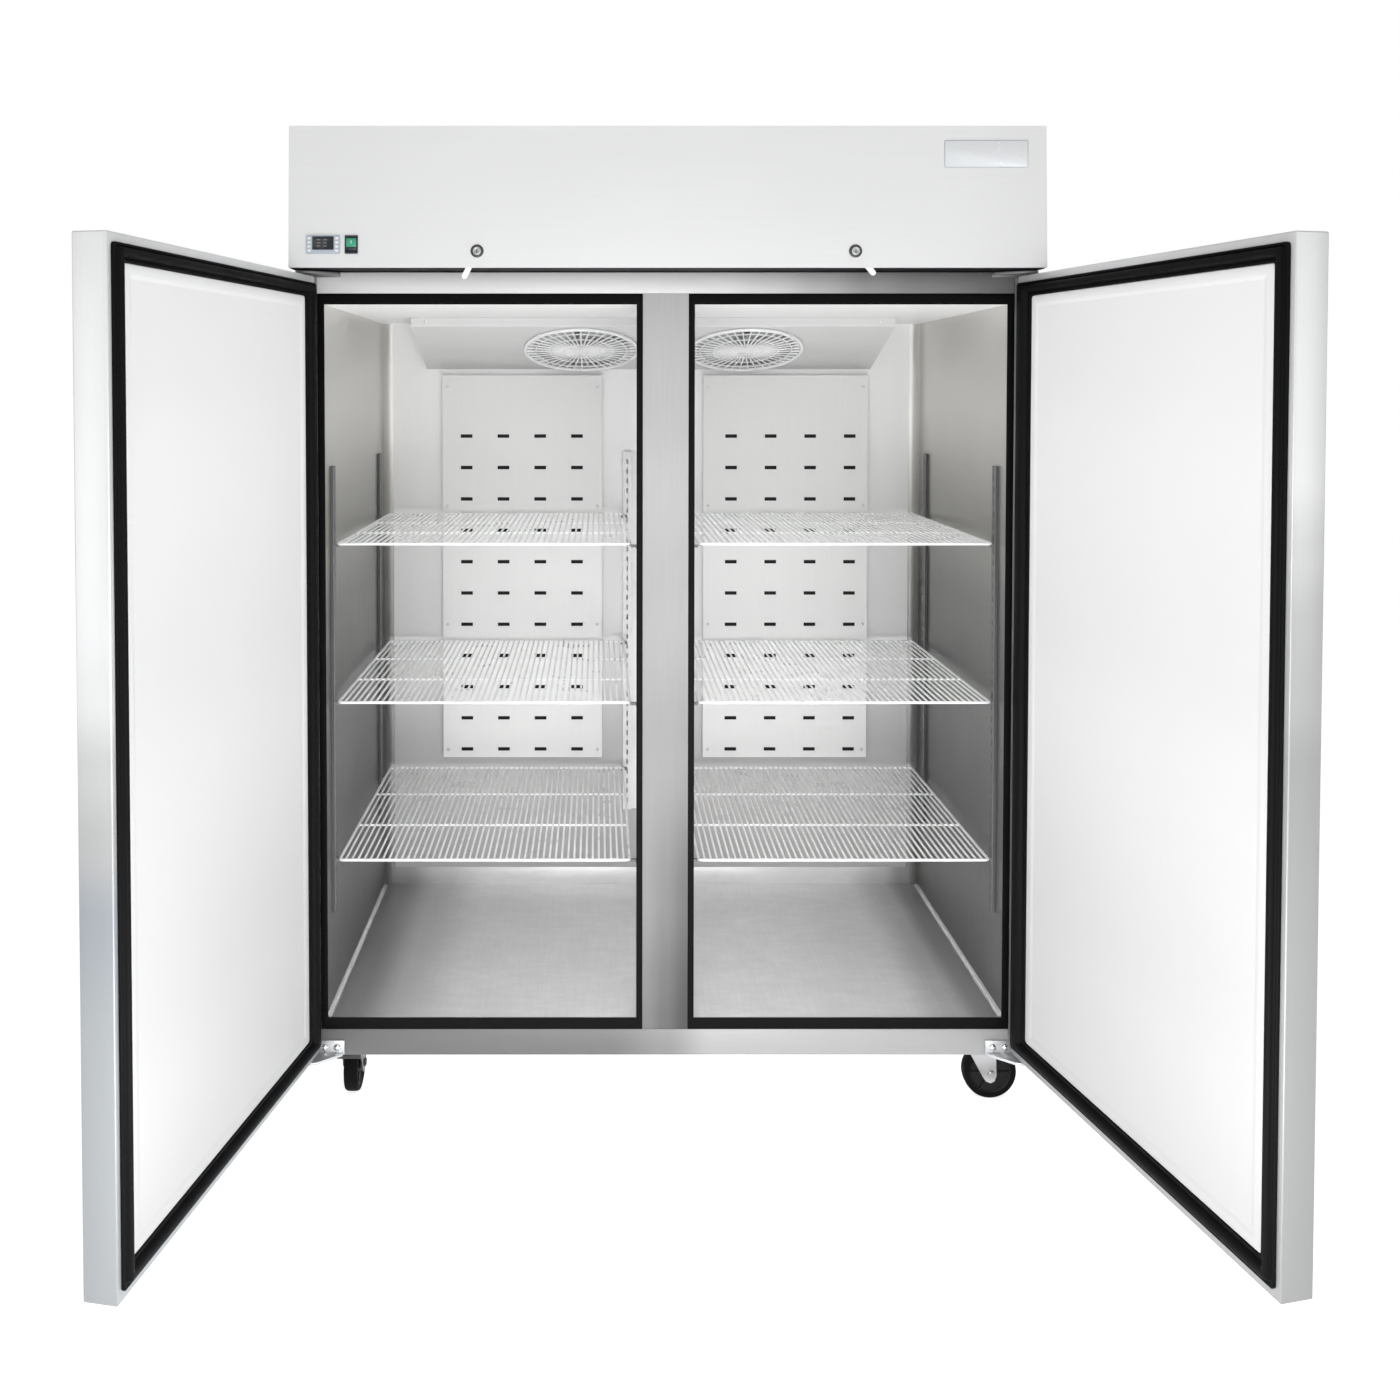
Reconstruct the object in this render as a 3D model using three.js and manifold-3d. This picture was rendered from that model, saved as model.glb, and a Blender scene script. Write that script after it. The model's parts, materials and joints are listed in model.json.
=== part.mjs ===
// A two-door reach-in refrigerator with a top-mounted machine compartment, on four casters.
// Millimetres, +Z up. X runs to the right as seen from the front, +Y runs into the cabinet.
// The origin is on the floor, under the middle of the cabinet's front face.
// Both doors stand open, the shelves rest on their clips and the keylock tongues hang down.

import * as THREE from "three";
import { mergeVertices } from "three/addons/utils/BufferGeometryUtils.js";
import Module from "manifold-3d";

const wasm = await Module();
wasm.setup();

// ---------------------------------------------------------------- driving dimensions

const GAP = 0.3; // clearance between touching pieces
const SHEET = 1; // cabinet sheet thickness
const HALF_W = 740; // half of the cabinet's width
const DEPTH = 765; // cabinet body, front face to back
const BASE_Z = 120; // underside of the sill and the side sheets
const DECK_Z = 137; // underside of the base sheet, behind the sill
const ROOF_Z = 1710; // top of the insulated body
const TOP_Z = 1990; // top of the machine compartment

const INSIDE_HALF_W = 686; // storage space
const INSIDE_DEPTH = 715;
const FLOOR_Z = 196;
const CEILING_Z = 1646;
const LINER = 1;

const FACE = 3; // thickness of the front rails
const TRIM_OUT = 700; // outer half-width of the black frame round the openings
const TRIM_LOW = 173;
const TRIM_HIGH = 1668;
const BAY_IN = 58.5; // inner edge of each bay's opening, from the middle
const MULLION_HALF = 46;
const POST_DEPTH = 62;

const HEADER = { bottom: 1713, front: -70, lean: 12, sheet: 1.2 };

const PIVOT = { x: 721, y: -32 }; // door hinge axis
const DOOR = {
  hingeEdge: -17, // measured along the door from the hinge axis
  freeEdge: 716,
  front: -38, // measured from the hinge axis, door closed
  back: 18,
  low: 132.5,
  high: 1700.5,
  openLeft: 100.8, // degrees, as stored
  openRight: 102.9,
};
// The seal's broad foot reaches the door's hinge edge; its raised lip starts inside the swing.
const SEAL = { hinge: -15, free: 706, low: 148, high: 1686, face: 31.7, lipHinge: 2, inset: 6 };
const PANEL = { hinge: 38, free: 680, low: 184, high: 1658 };

const LOCK = { x: [-372, 366], up: 32, tongue: 60, rest: [27, -40] };
const SHELF = {
  z: { upper: 1160, middle: 834, lower: 508 },
  inner: 68,
  outer: 671,
  front: 32,
  back: 687,
  thick: 6,
  bars: 24,
  wire: 3.2,
};
const PILASTER = { low: 394, high: 1318, width: 22, depth: 10.7, frontY: 59, rearY: 619 };

const PLENUM = { x0: -575, x1: 562, frontY: 435, lipZ: 1625, rearZ: 1530, sheet: 1.2 };
const FAN = { x: { left: -177, right: 226 }, y: 575, guardR: 141, holeR: 120, bladeR: 112 };
const DUCT = { front: 694, low: 533, high: 1514, columns: 4, rows: 11, slotW: 30, slotH: 9 };
const DUCTS = {
  left: { x0: -533, x1: -126, firstX: -472, pitch: 94 },
  right: { x0: 133, x1: 553, firstX: 204, pitch: 101 },
};
const SLOT_TOP_Z = 1359;
const SLOT_PITCH_Z = 80.5;

const CASTER = { x: 650, frontY: 66, rearY: 680, radius: 55, width: 30, trail: 30, top: 132.7 };

// ---------------------------------------------------------------- materials

function material(color, roughness, metalness) {
  return new THREE.MeshStandardMaterial({ color, roughness, metalness });
}
const look = {
  stainless: () => material(0xc9cbcc, 0.35, 0.9),
  whiteSteel: () => material(0xf0f1f2, 0.45, 0.2),
  liner: () => material(0xcfd0cf, 0.4, 0.6),
  foam: () => material(0xe6dfc0, 0.95, 0),
  black: () => material(0x151515, 0.6, 0),
  rubber: () => material(0x1b1b1b, 0.8, 0),
  panel: () => material(0xf4f5f5, 0.4, 0.1),
  wire: () => material(0xf6f7f7, 0.35, 0),
  zinc: () => material(0xb9bdc0, 0.3, 0.9),
  chrome: () => material(0xd9dcde, 0.15, 1),
  aluminium: () => material(0xb5b8bb, 0.4, 0.9),
  enamel: () => material(0x1d1f22, 0.5, 0.1),
  bezel: () => material(0xaab4bf, 0.5, 0),
  navy: () => material(0x1c2430, 0.5, 0),
  green: () => material(0x1f8f5f, 0.4, 0),
};

// ---------------------------------------------------------------- geometry helpers

const DEG = Math.PI / 180;
const OVER = 1; // how far a cutting tool runs past the face it opens

function box(x0, x1, y0, y1, z0, z1) {
  const geometry = new THREE.BoxGeometry(x1 - x0, y1 - y0, z1 - z0);
  return geometry.translate((x0 + x1) / 2, (y0 + y1) / 2, (z0 + z1) / 2);
}

// A box that spans a to b on the given side (-1 left, +1 right) of the middle.
function sideBox(side, a, b, y0, y1, z0, z1) {
  return box(Math.min(side * a, side * b), Math.max(side * a, side * b), y0, y1, z0, z1);
}

// A round bar along Z.
function rod(radius, z0, z1, x = 0, y = 0, sides = 16) {
  const geometry = new THREE.CylinderGeometry(radius, radius, z1 - z0, sides);
  return geometry.rotateX(Math.PI / 2).translate(x, y, (z0 + z1) / 2);
}

// A round bar along Y.
function rodY(radius, y0, y1, x, z, sides = 16) {
  const geometry = new THREE.CylinderGeometry(radius, radius, y1 - y0, sides);
  return geometry.translate(x, (y0 + y1) / 2, z);
}

// A flat outline in X and Y, raised from z0 to z1.
function plate(points, z0, z1) {
  const shape = new THREE.Shape(points.map(([x, y]) => new THREE.Vector2(x, y)));
  const geometry = new THREE.ExtrudeGeometry(shape, { depth: z1 - z0, bevelEnabled: false });
  return geometry.translate(0, 0, z0);
}

// An outline in Y and Z, extended from x0 to x1.
function profile(points, x0, x1) {
  const geometry = plate(points, x0, x1);
  const turn = new THREE.Matrix4().set(0, 0, 1, 0, 1, 0, 0, 0, 0, 1, 0, 0, 0, 0, 0, 1);
  return geometry.applyMatrix4(turn);
}

// A profile of radius and height turned about Z; the profile closes on itself or on the axis.
function turned(points, sides) {
  const outline = points.map(([r, z]) => new THREE.Vector2(r, z));
  return new THREE.LatheGeometry(outline, sides).rotateX(Math.PI / 2);
}

function solid(geometry) {
  const bare = geometry.clone();
  for (const name of Object.keys(bare.attributes)) {
    if (name !== "position") bare.deleteAttribute(name);
  }
  const merged = mergeVertices(bare, 1e-4);
  const mesh = new wasm.Mesh({
    numProp: 3,
    vertProperties: new Float32Array(merged.attributes.position.array),
    triVerts: new Uint32Array(merged.index.array),
  });
  return new wasm.Manifold(mesh);
}

function surface(manifold) {
  const mesh = manifold.getMesh();
  const geometry = new THREE.BufferGeometry();
  geometry.setAttribute("position", new THREE.BufferAttribute(mesh.vertProperties, 3));
  geometry.setIndex(new THREE.BufferAttribute(mesh.triVerts, 1));
  geometry.computeVertexNormals();
  return geometry;
}

function join(...pieces) {
  return surface(pieces.map(solid).reduce((whole, piece) => whole.add(piece)));
}

function cut(body, ...tools) {
  return surface(tools.map(solid).reduce((rest, tool) => rest.subtract(tool), solid(body)));
}

const fridge = new THREE.Group();

function add(name, geometry, finish, parent = fridge) {
  const mesh = new THREE.Mesh(geometry, finish());
  mesh.name = name;
  parent.add(mesh);
  return mesh;
}

function placed(parent, x, y, z, turnX = 0, turnZ = 0) {
  const group = new THREE.Group();
  group.position.set(x, y, z);
  group.rotation.set(turnX, 0, turnZ, "ZXY");
  parent.add(group);
  return group;
}

const SIDES = { left: -1, right: 1 };

// ---------------------------------------------------------------- cabinet body

function makeSidePanels() {
  const flange = { inner: TRIM_OUT + GAP, thick: SHEET };
  for (const [name, side] of Object.entries(SIDES)) {
    const sheet = sideBox(side, HALF_W - SHEET, HALF_W, 0, DEPTH, BASE_Z, TOP_Z);
    const stile = sideBox(side, flange.inner, HALF_W, 0, flange.thick, BASE_Z, ROOF_Z);
    add(`side_panel_${name}`, join(sheet, stile), look.stainless);
  }
}

function makeOuterPanels() {
  const x = HALF_W - SHEET - GAP;
  add("rear_panel", box(-x, x, DEPTH - SHEET, DEPTH, BASE_Z, ROOF_Z), look.stainless);
  const back = DEPTH - SHEET - GAP;
  add("top_panel", box(-x, x, FACE + GAP, back, ROOF_Z, ROOF_Z + SHEET), look.stainless);

  const plates = [-CASTER.x, CASTER.x].flatMap((px) =>
    [CASTER.frontY, CASTER.rearY].map((py) => casterPlate(px, py, DECK_Z + 0.2)),
  );
  const sheet = box(-x, x, FACE + GAP, back, DECK_Z, DECK_Z + SHEET);
  add("base_panel", join(sheet, ...plates), look.zinc);
}

function casterPlate(x, y, top) {
  const half = 38;
  return box(x - half, x + half, y - half, y + half, CASTER.top + 0.5, top);
}

function makeInsulationAndLiner() {
  const x = HALF_W - SHEET - GAP;
  const bottom = DECK_Z + SHEET + GAP;
  const front = FACE + 1;
  const outside = box(-x, x, front, DEPTH - SHEET - GAP, bottom, ROOF_Z - GAP);
  const w = INSIDE_HALF_W + LINER;
  const shellBack = INSIDE_DEPTH + LINER;
  const low = FLOOR_Z - LINER;
  const high = CEILING_Z + LINER;
  const g = GAP;
  const cavity = box(-w - g, w + g, front - OVER, shellBack + g, low - g, high + g);
  add("insulation_core", cut(outside, cavity), look.foam);

  const shell = box(-w, w, front, shellBack, low, high);
  const inside = box(
    -INSIDE_HALF_W, INSIDE_HALF_W, front - OVER, INSIDE_DEPTH, FLOOR_Z, CEILING_Z,
  );
  add("inner_liner", cut(shell, inside), look.liner);
}

function makeFaceFrame() {
  add("top_rail", box(-TRIM_OUT, TRIM_OUT, 0, FACE, TRIM_HIGH, ROOF_Z - GAP), look.stainless);
  add("sill_rail", box(-TRIM_OUT, TRIM_OUT, 0, FACE, BASE_Z, TRIM_LOW), look.stainless);

  const coverThick = 1.2;
  const m = MULLION_HALF;
  const low = TRIM_LOW + GAP;
  const high = TRIM_HIGH - GAP;
  add("centre_mullion", box(-m, m, 0, coverThick, low, high), look.stainless);

  const trimOut = TRIM_OUT - GAP;
  const trim = box(-trimOut, trimOut, 0, FACE + 0.6, low, high);
  const bays = [-1, 1].map((side) =>
    sideBox(side, BAY_IN, INSIDE_HALF_W, -OVER, FACE + 2, FLOOR_Z, CEILING_Z),
  );
  const seat = box(-m - GAP, m + GAP, -OVER, coverThick + GAP, low - OVER, high + OVER);
  add("breaker_frame", cut(trim, ...bays, seat), look.black);
}

// ---------------------------------------------------------------- shelf supports

// A clip under the edge of each shelf, reaching from x0 to x1 and y0 to y1.
function clips(x0, x1, y0, y1) {
  const drop = SHELF.thick / 2 + GAP;
  return Object.values(SHELF.z).map((z) => box(x0, x1, y0, y1, z - drop - 8, z - drop));
}

function makePilasters() {
  const wall = INSIDE_HALF_W - GAP;
  const face = wall - PILASTER.depth;
  const reach = 13;
  const groove = 6;
  for (const [name, side] of Object.entries(SIDES)) {
    for (const [place, y] of [["front", PILASTER.frontY], ["rear", PILASTER.rearY]]) {
      const y0 = y - PILASTER.width / 2;
      const y1 = y + PILASTER.width / 2;
      const strip = sideBox(side, face, wall, y0, y1, PILASTER.low, PILASTER.high);
      const channel = sideBox(
        side, face - OVER, face + 3, y - groove, y + groove,
        PILASTER.low - OVER, PILASTER.high + OVER,
      );
      const x0 = Math.min(side * (face - reach), side * (face + 5));
      const x1 = Math.max(side * (face - reach), side * (face + 5));
      const body = cut(strip, channel);
      const held = clips(x0, x1, y - 5, y + 5);
      add(`pilaster_${name}_${place}`, join(body, ...held), look.zinc);
    }
  }
}

function makeCentreSupports() {
  const half = 55;
  const stripOut = half + 10;
  const front = FACE + 1;
  const post = box(-half, half, front, POST_DEPTH, FLOOR_Z + GAP, CEILING_Z - GAP);
  const strips = box(
    -stripOut, stripOut, POST_DEPTH - PILASTER.width, POST_DEPTH, PILASTER.low, PILASTER.high,
  );
  const reach = stripOut + 14;
  const frontClips = clips(-reach, reach, POST_DEPTH - 15, POST_DEPTH - 5);
  add("centre_post", join(post, strips, ...frontClips), look.stainless);

  const back = INSIDE_DEPTH - GAP;
  const webFront = back - 1.5;
  const web = box(-72, 72, webFront, back, PILASTER.low, PILASTER.high);
  const channels = [-1, 1].map((side) =>
    sideBox(side, 50, 72, back - PILASTER.depth, back, PILASTER.low, PILASTER.high),
  );
  const fingers = [-1, 1].flatMap((side) => {
    const x0 = side < 0 ? -84 : 62;
    return clips(x0, x0 + 22, SHELF.back - 10, back - PILASTER.depth + 0.5);
  });
  add("pilaster_centre_rear", join(web, ...channels, ...fingers), look.zinc);
}

// One flat grid: an edge wire all round and straight bars from front to back.
function shelfGrid(side) {
  const edge = SHELF.thick;
  const half = SHELF.thick / 2;
  const slotCount = SHELF.bars + 1;
  const span = SHELF.outer - SHELF.inner - 2 * edge;
  const slotW = (span - SHELF.bars * SHELF.wire) / slotCount;
  const slots = [];
  for (let i = 0; i < slotCount; i++) {
    const a = SHELF.inner + edge + i * (slotW + SHELF.wire);
    const y0 = SHELF.front + edge;
    const y1 = SHELF.back - edge;
    slots.push(sideBox(side, a, a + slotW, y0, y1, -half - OVER, half + OVER));
  }
  const sheet = sideBox(side, SHELF.inner, SHELF.outer, SHELF.front, SHELF.back, -half, half);
  return cut(sheet, ...slots);
}

function makeShelves() {
  for (const [name, side] of Object.entries(SIDES)) {
    for (const [level, z] of Object.entries(SHELF.z)) {
      add(`shelf_${name}_${level}`, shelfGrid(side), look.wire).position.z = z;
    }
  }
}

// ---------------------------------------------------------------- cold-air parts

function makeDuctPanels() {
  const back = INSIDE_DEPTH - GAP;
  const t = 1.2;
  for (const [name, duct] of Object.entries(DUCTS)) {
    const shell = box(duct.x0, duct.x1, DUCT.front, back, DUCT.low, DUCT.high);
    const inside = box(
      duct.x0 + t, duct.x1 - t, DUCT.front + t, back + OVER, DUCT.low + t, DUCT.high - t,
    );
    const slots = [];
    for (let column = 0; column < DUCT.columns; column++) {
      for (let row = 0; row < DUCT.rows; row++) {
        const x = duct.firstX + column * duct.pitch;
        const z = SLOT_TOP_Z - row * SLOT_PITCH_Z;
        const w = DUCT.slotW / 2;
        const h = DUCT.slotH / 2;
        slots.push(box(x - w, x + w, DUCT.front - OVER, DUCT.front + 2 * t, z - h, z + h));
      }
    }
    add(`duct_panel_${name}`, cut(shell, inside, ...slots), look.liner);
  }
}

const plenumRun = INSIDE_DEPTH - GAP - PLENUM.frontY;
const plenumSlope = Math.atan2(PLENUM.lipZ - PLENUM.rearZ, plenumRun);

function plenumHeight(y) {
  return PLENUM.lipZ - (y - PLENUM.frontY) * Math.tan(plenumSlope);
}

// The frame of a fan: its origin on the sloping cover, Z along the fan's axis.
function fanFrame(parent, x) {
  return placed(parent, x, FAN.y, plenumHeight(FAN.y), -plenumSlope);
}

function makeEvaporator() {
  const back = INSIDE_DEPTH - GAP;
  const top = CEILING_Z - GAP;
  const t = PLENUM.sheet;
  const outline = [
    [PLENUM.frontY, top], [PLENUM.frontY, PLENUM.lipZ], [back, PLENUM.rearZ], [back, top],
  ];
  const inner = [
    [PLENUM.frontY + t, top + OVER], [PLENUM.frontY + t, PLENUM.lipZ + t],
    [back + OVER, PLENUM.rearZ + t], [back + OVER, top + OVER],
  ];
  const holes = Object.values(FAN.x).map((x) => {
    const hole = rod(FAN.holeR, -20, 20, 0, 0, 32);
    return hole.rotateX(-plenumSlope).translate(x, FAN.y, plenumHeight(FAN.y));
  });
  const hood = cut(
    profile(outline, PLENUM.x0, PLENUM.x1),
    profile(inner, PLENUM.x0 + t, PLENUM.x1 - t),
    ...holes,
  );
  add("evaporator_cover", hood, look.liner);
  makeEvaporatorCoil();
  for (const [name, x] of Object.entries(FAN.x)) {
    const frame = fanFrame(fridge, x);
    add(`fan_guard_${name}`, fanGuard(), look.wire, frame);
    add(`evaporator_fan_${name}`, fan(FAN.bladeR, 22, 7, 24), look.black, frame);
  }
}

function fanGuard() {
  const r = FAN.guardR;
  const ring = turned([[r - 6, -8], [r, -8], [r, -2], [r - 6, -2], [r - 6, -8]], 24);
  const spokes = [];
  const count = 10;
  for (let i = 0; i < count; i++) {
    const spoke = box(20, r - 3, -1.6, 1.6, -6.6, -3.4);
    spokes.push(spoke.rotateZ((i * 2 * Math.PI) / count));
  }
  const motor = rod(28, -9, 4, 0, 0, 16);
  const shaft = rod(4, 3, 20, 0, 0, 8);
  return join(motor, shaft, ring, ...spokes);
}

// An axial fan about Z with a bored hub, between the heights z0 and z1.
function fan(radius, hubR, z0, z1) {
  const hub = turned([[5, z0], [hubR, z0], [hubR, z1], [5, z1], [5, z0]], 14);
  const blades = [];
  const count = 5;
  const pitch = 24 * DEG;
  const middle = (z0 + z1) / 2;
  const chord = (z1 - z0 - 2) / Math.sin(pitch);
  for (let i = 0; i < count; i++) {
    const blade = box(hubR - 4, radius, -chord / 2, chord / 2, -0.8, 0.8).rotateX(pitch);
    blades.push(blade.translate(0, 0, middle).rotateZ((i * 2 * Math.PI) / count));
  }
  return join(hub, ...blades);
}

const COIL = { blocks: [[-560, -335], [385, 547]], front: 592, back: 690, low: 1582, high: 1638 };

function makeEvaporatorCoil() {
  const { blocks, front, back, low, high } = COIL;
  const fins = 9;
  const halfGroove = 3;
  const solidTop = 20;
  const grooves = [];
  for (const [x0, x1] of blocks) {
    const pitch = (x1 - x0) / fins;
    for (let i = 1; i < fins; i++) {
      const x = x0 + i * pitch;
      grooves.push(
        box(x - halfGroove, x + halfGroove, front - OVER, back + OVER, low - OVER, high - solidTop),
      );
    }
  }
  const solids = blocks.map(([x0, x1]) => box(x0, x1, front, back, low, high));
  const pipeR = 5;
  const pipeY = back + 10;
  const pipeZ = high - 8;
  const pipeEnds = [-355, 405];
  const length = pipeEnds[1] - pipeEnds[0];
  const pipe = new THREE.CylinderGeometry(pipeR, pipeR, length, 10).rotateZ(Math.PI / 2);
  const link = pipe.translate((pipeEnds[0] + pipeEnds[1]) / 2, pipeY, pipeZ);
  const elbows = [-345, 395].map((x) =>
    box(x - pipeR, x + pipeR, back - OVER, pipeY + 2, pipeZ - pipeR, pipeZ + pipeR),
  );
  const finned = cut(join(...solids), ...grooves);
  add("evaporator_coil", join(finned, link, ...elbows), look.aluminium);
}

// ---------------------------------------------------------------- machine compartment

const headerLean = Math.atan2(HEADER.lean, TOP_Z - HEADER.bottom);

// The front sheet's own frame: origin at its foot, Z up the sheet, Y into the compartment.
function fasciaFrame(parent) {
  return placed(parent, 0, HEADER.front, HEADER.bottom, -headerLean);
}

function onFascia(geometry) {
  return geometry.rotateX(-headerLean).translate(0, HEADER.front, HEADER.bottom);
}

const CONTROLLER = { x: -672, up: 44.5, w: 66, h: 37, bodyW: 57, bodyH: 28, deep: 55 };
const SWITCH = { x: -617, up: 44.5, w: 25.4, h: 36, bodyW: 22.4, bodyH: 31, deep: 20 };

function makeHeaderCover() {
  const t = HEADER.sheet;
  const f = HEADER.front;
  const b = HEADER.bottom;
  const rear = -GAP - 0.2;
  const topFront = f + HEADER.lean;
  const outline = [[f, b], [rear, b], [rear, TOP_Z], [topFront, TOP_Z]];
  const inside = [[f + t, b + t], [5, b + t], [5, TOP_Z - t], [topFront + t, TOP_Z - t]];
  const openings = [CONTROLLER, SWITCH].map((p) => {
    const w = p.bodyW / 2 + 0.5;
    const h = p.bodyH / 2 + 0.5;
    return onFascia(box(p.x - w, p.x + w, -5, 10, p.up - h, p.up + h));
  });
  const lockHoles = LOCK.x.map((x) => onFascia(rodY(9.5, -5, 10, x, LOCK.up)));
  const slotHalf = 59;
  const tongueSlots = LOCK.x.map((x) =>
    box(x - slotHalf, x + slotHalf, f + 2, f + 8, b - OVER, b + t + OVER),
  );
  const pan = cut(
    profile(outline, -HALF_W, HALF_W),
    profile(inside, -HALF_W + t, HALF_W - t),
    ...openings,
    ...lockHoles,
    ...tongueSlots,
  );
  add("header_cover", pan, look.whiteSteel);
}

function makeControls() {
  const fascia = fasciaFrame(fridge);
  const c = CONTROLLER;
  const bezel = box(c.x - c.w / 2, c.x + c.w / 2, -3.3, -GAP, c.up - c.h / 2, c.up + c.h / 2);
  const body = box(
    c.x - c.bodyW / 2, c.x + c.bodyW / 2, -2, c.deep, c.up - c.bodyH / 2, c.up + c.bodyH / 2,
  );
  add("controller", join(bezel, body), look.bezel, fascia);

  const s = SWITCH;
  const rim = box(s.x - s.w / 2, s.x + s.w / 2, -2.8, -GAP, s.up - s.h / 2, s.up + s.h / 2);
  const well = box(
    s.x - s.bodyW / 2, s.x + s.bodyW / 2, -2, s.deep, s.up - s.bodyH / 2, s.up + s.bodyH / 2,
  );
  const bore = box(s.x - 10.3, s.x + 10.3, -5, s.deep - 2, s.up - 14, s.up + 14);
  add("switch_bezel", cut(join(rim, well), bore), look.navy, fascia);

  const rocker = [[11, -8], [-1.5, -13.3], [-3.2, 0], [-1.5, 13.3], [11, 8]];
  const pivot = placed(fascia, s.x, 2, s.up, 8 * DEG);
  add("switch_rocker", profile(rocker.map(([y, z]) => [y - 2, z]), -9.9, 9.9), look.green, pivot);

  LOCK.x.forEach((x, i) => {
    const axis = placed(fascia, x, 0, LOCK.up);
    const flange = rodY(13, -1.6, -GAP, 0, 0, 20);
    const plug = rodY(9, -6, 4, 0, 0, 20);
    const tongue = box(-5.5, 5.5, 3.4, 5.8, -LOCK.tongue, 6).rotateY(LOCK.rest[i] * DEG);
    const name = i === 0 ? "lock_left" : "lock_right";
    add(name, join(plug, flange, tongue), look.chrome, axis);
  });
}

const COMPRESSOR = { x: 330, y: 430, footX: 78, footY: 60, rail: [13, 17] };
const CONDENSER = { x0: -350, x1: 30, front: 90, back: 150, shroud: 45, high: 220, fanR: 90 };

function makeCompressor(deck) {
  const c = COMPRESSOR;
  const can = turned(
    [
      [0, 14], [60, 14], [84, 32], [88, 60], [88, 128], [80, 165], [52, 190], [0, 198],
    ],
    16,
  );
  const feet = [[-1, -1], [1, -1], [1, 1], [-1, 1]].map(([sx, sy]) =>
    rod(10, 0, c.rail[0] + 1.5, sx * c.footX, sy * c.footY, 12),
  );
  const rails = box(-c.footX - 17, c.footX + 17, -c.footY - 15, c.footY + 15, ...c.rail);
  const terminal = box(-34, 34, -108, -74, 60, 118);
  const unit = placed(fridge, c.x, c.y, deck);
  add("compressor", join(can, rails, terminal, ...feet), look.enamel, unit);
}

function makeCondenser(deck) {
  const { x0, x1, front, back, shroud, fanR } = CONDENSER;
  const z1 = deck + CONDENSER.high;
  const block = box(x0, x1, front, back, deck, z1);
  const grooves = [];
  const count = 16;
  const border = 12;
  const pitch = (x1 - x0) / count;
  for (let i = 1; i < count; i++) {
    const x = x0 + i * pitch;
    grooves.push(box(x - 5, x + 5, front - OVER, front + 25, deck + border, z1 - border));
  }
  const shroudBack = back + shroud;
  const duct = box(x0, x1, back - 0.5, shroudBack, deck, z1);
  const middleX = (x0 + x1) / 2;
  const middleZ = (deck + z1) / 2;
  const tunnel = rodY(fanR + 8, back, shroudBack + OVER, middleX, middleZ, 28);
  const arm = { half: fanR + 20, thick: 4, rise: 9 };
  const bracket = box(
    middleX - arm.half, middleX + arm.half, shroudBack - arm.thick, shroudBack,
    middleZ - arm.rise, middleZ + arm.rise,
  );
  const motor = rodY(26, shroudBack - 12, shroudBack + 30, middleX, middleZ, 16);
  const shaft = rodY(4, back + 12, shroudBack, middleX, middleZ, 10);
  const ducted = cut(join(cut(block, ...grooves), duct), tunnel);
  add("condenser_coil", join(ducted, bracket, motor, shaft), look.aluminium);

  const spin = placed(fridge, middleX, back + 8, middleZ, -90 * DEG);
  add("condenser_fan", fan(fanR, 24, 0, 22), look.black, spin);
}

function makeMachinery() {
  const deck = ROOF_Z + SHEET + GAP;
  makeCompressor(deck);
  makeCondenser(deck);
}

// ---------------------------------------------------------------- doors and hinges

// A box given along the closed door (a0 to a1 from the hinge axis towards the free edge).
function doorBox(side, a0, a1, y0, y1, z0, z1) {
  return sideBox(-side, a0, a1, y0, y1, z0, z1);
}

const PULL = { a0: 664, a1: 696, deep: 20, low: 860, high: 1160 };

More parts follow.
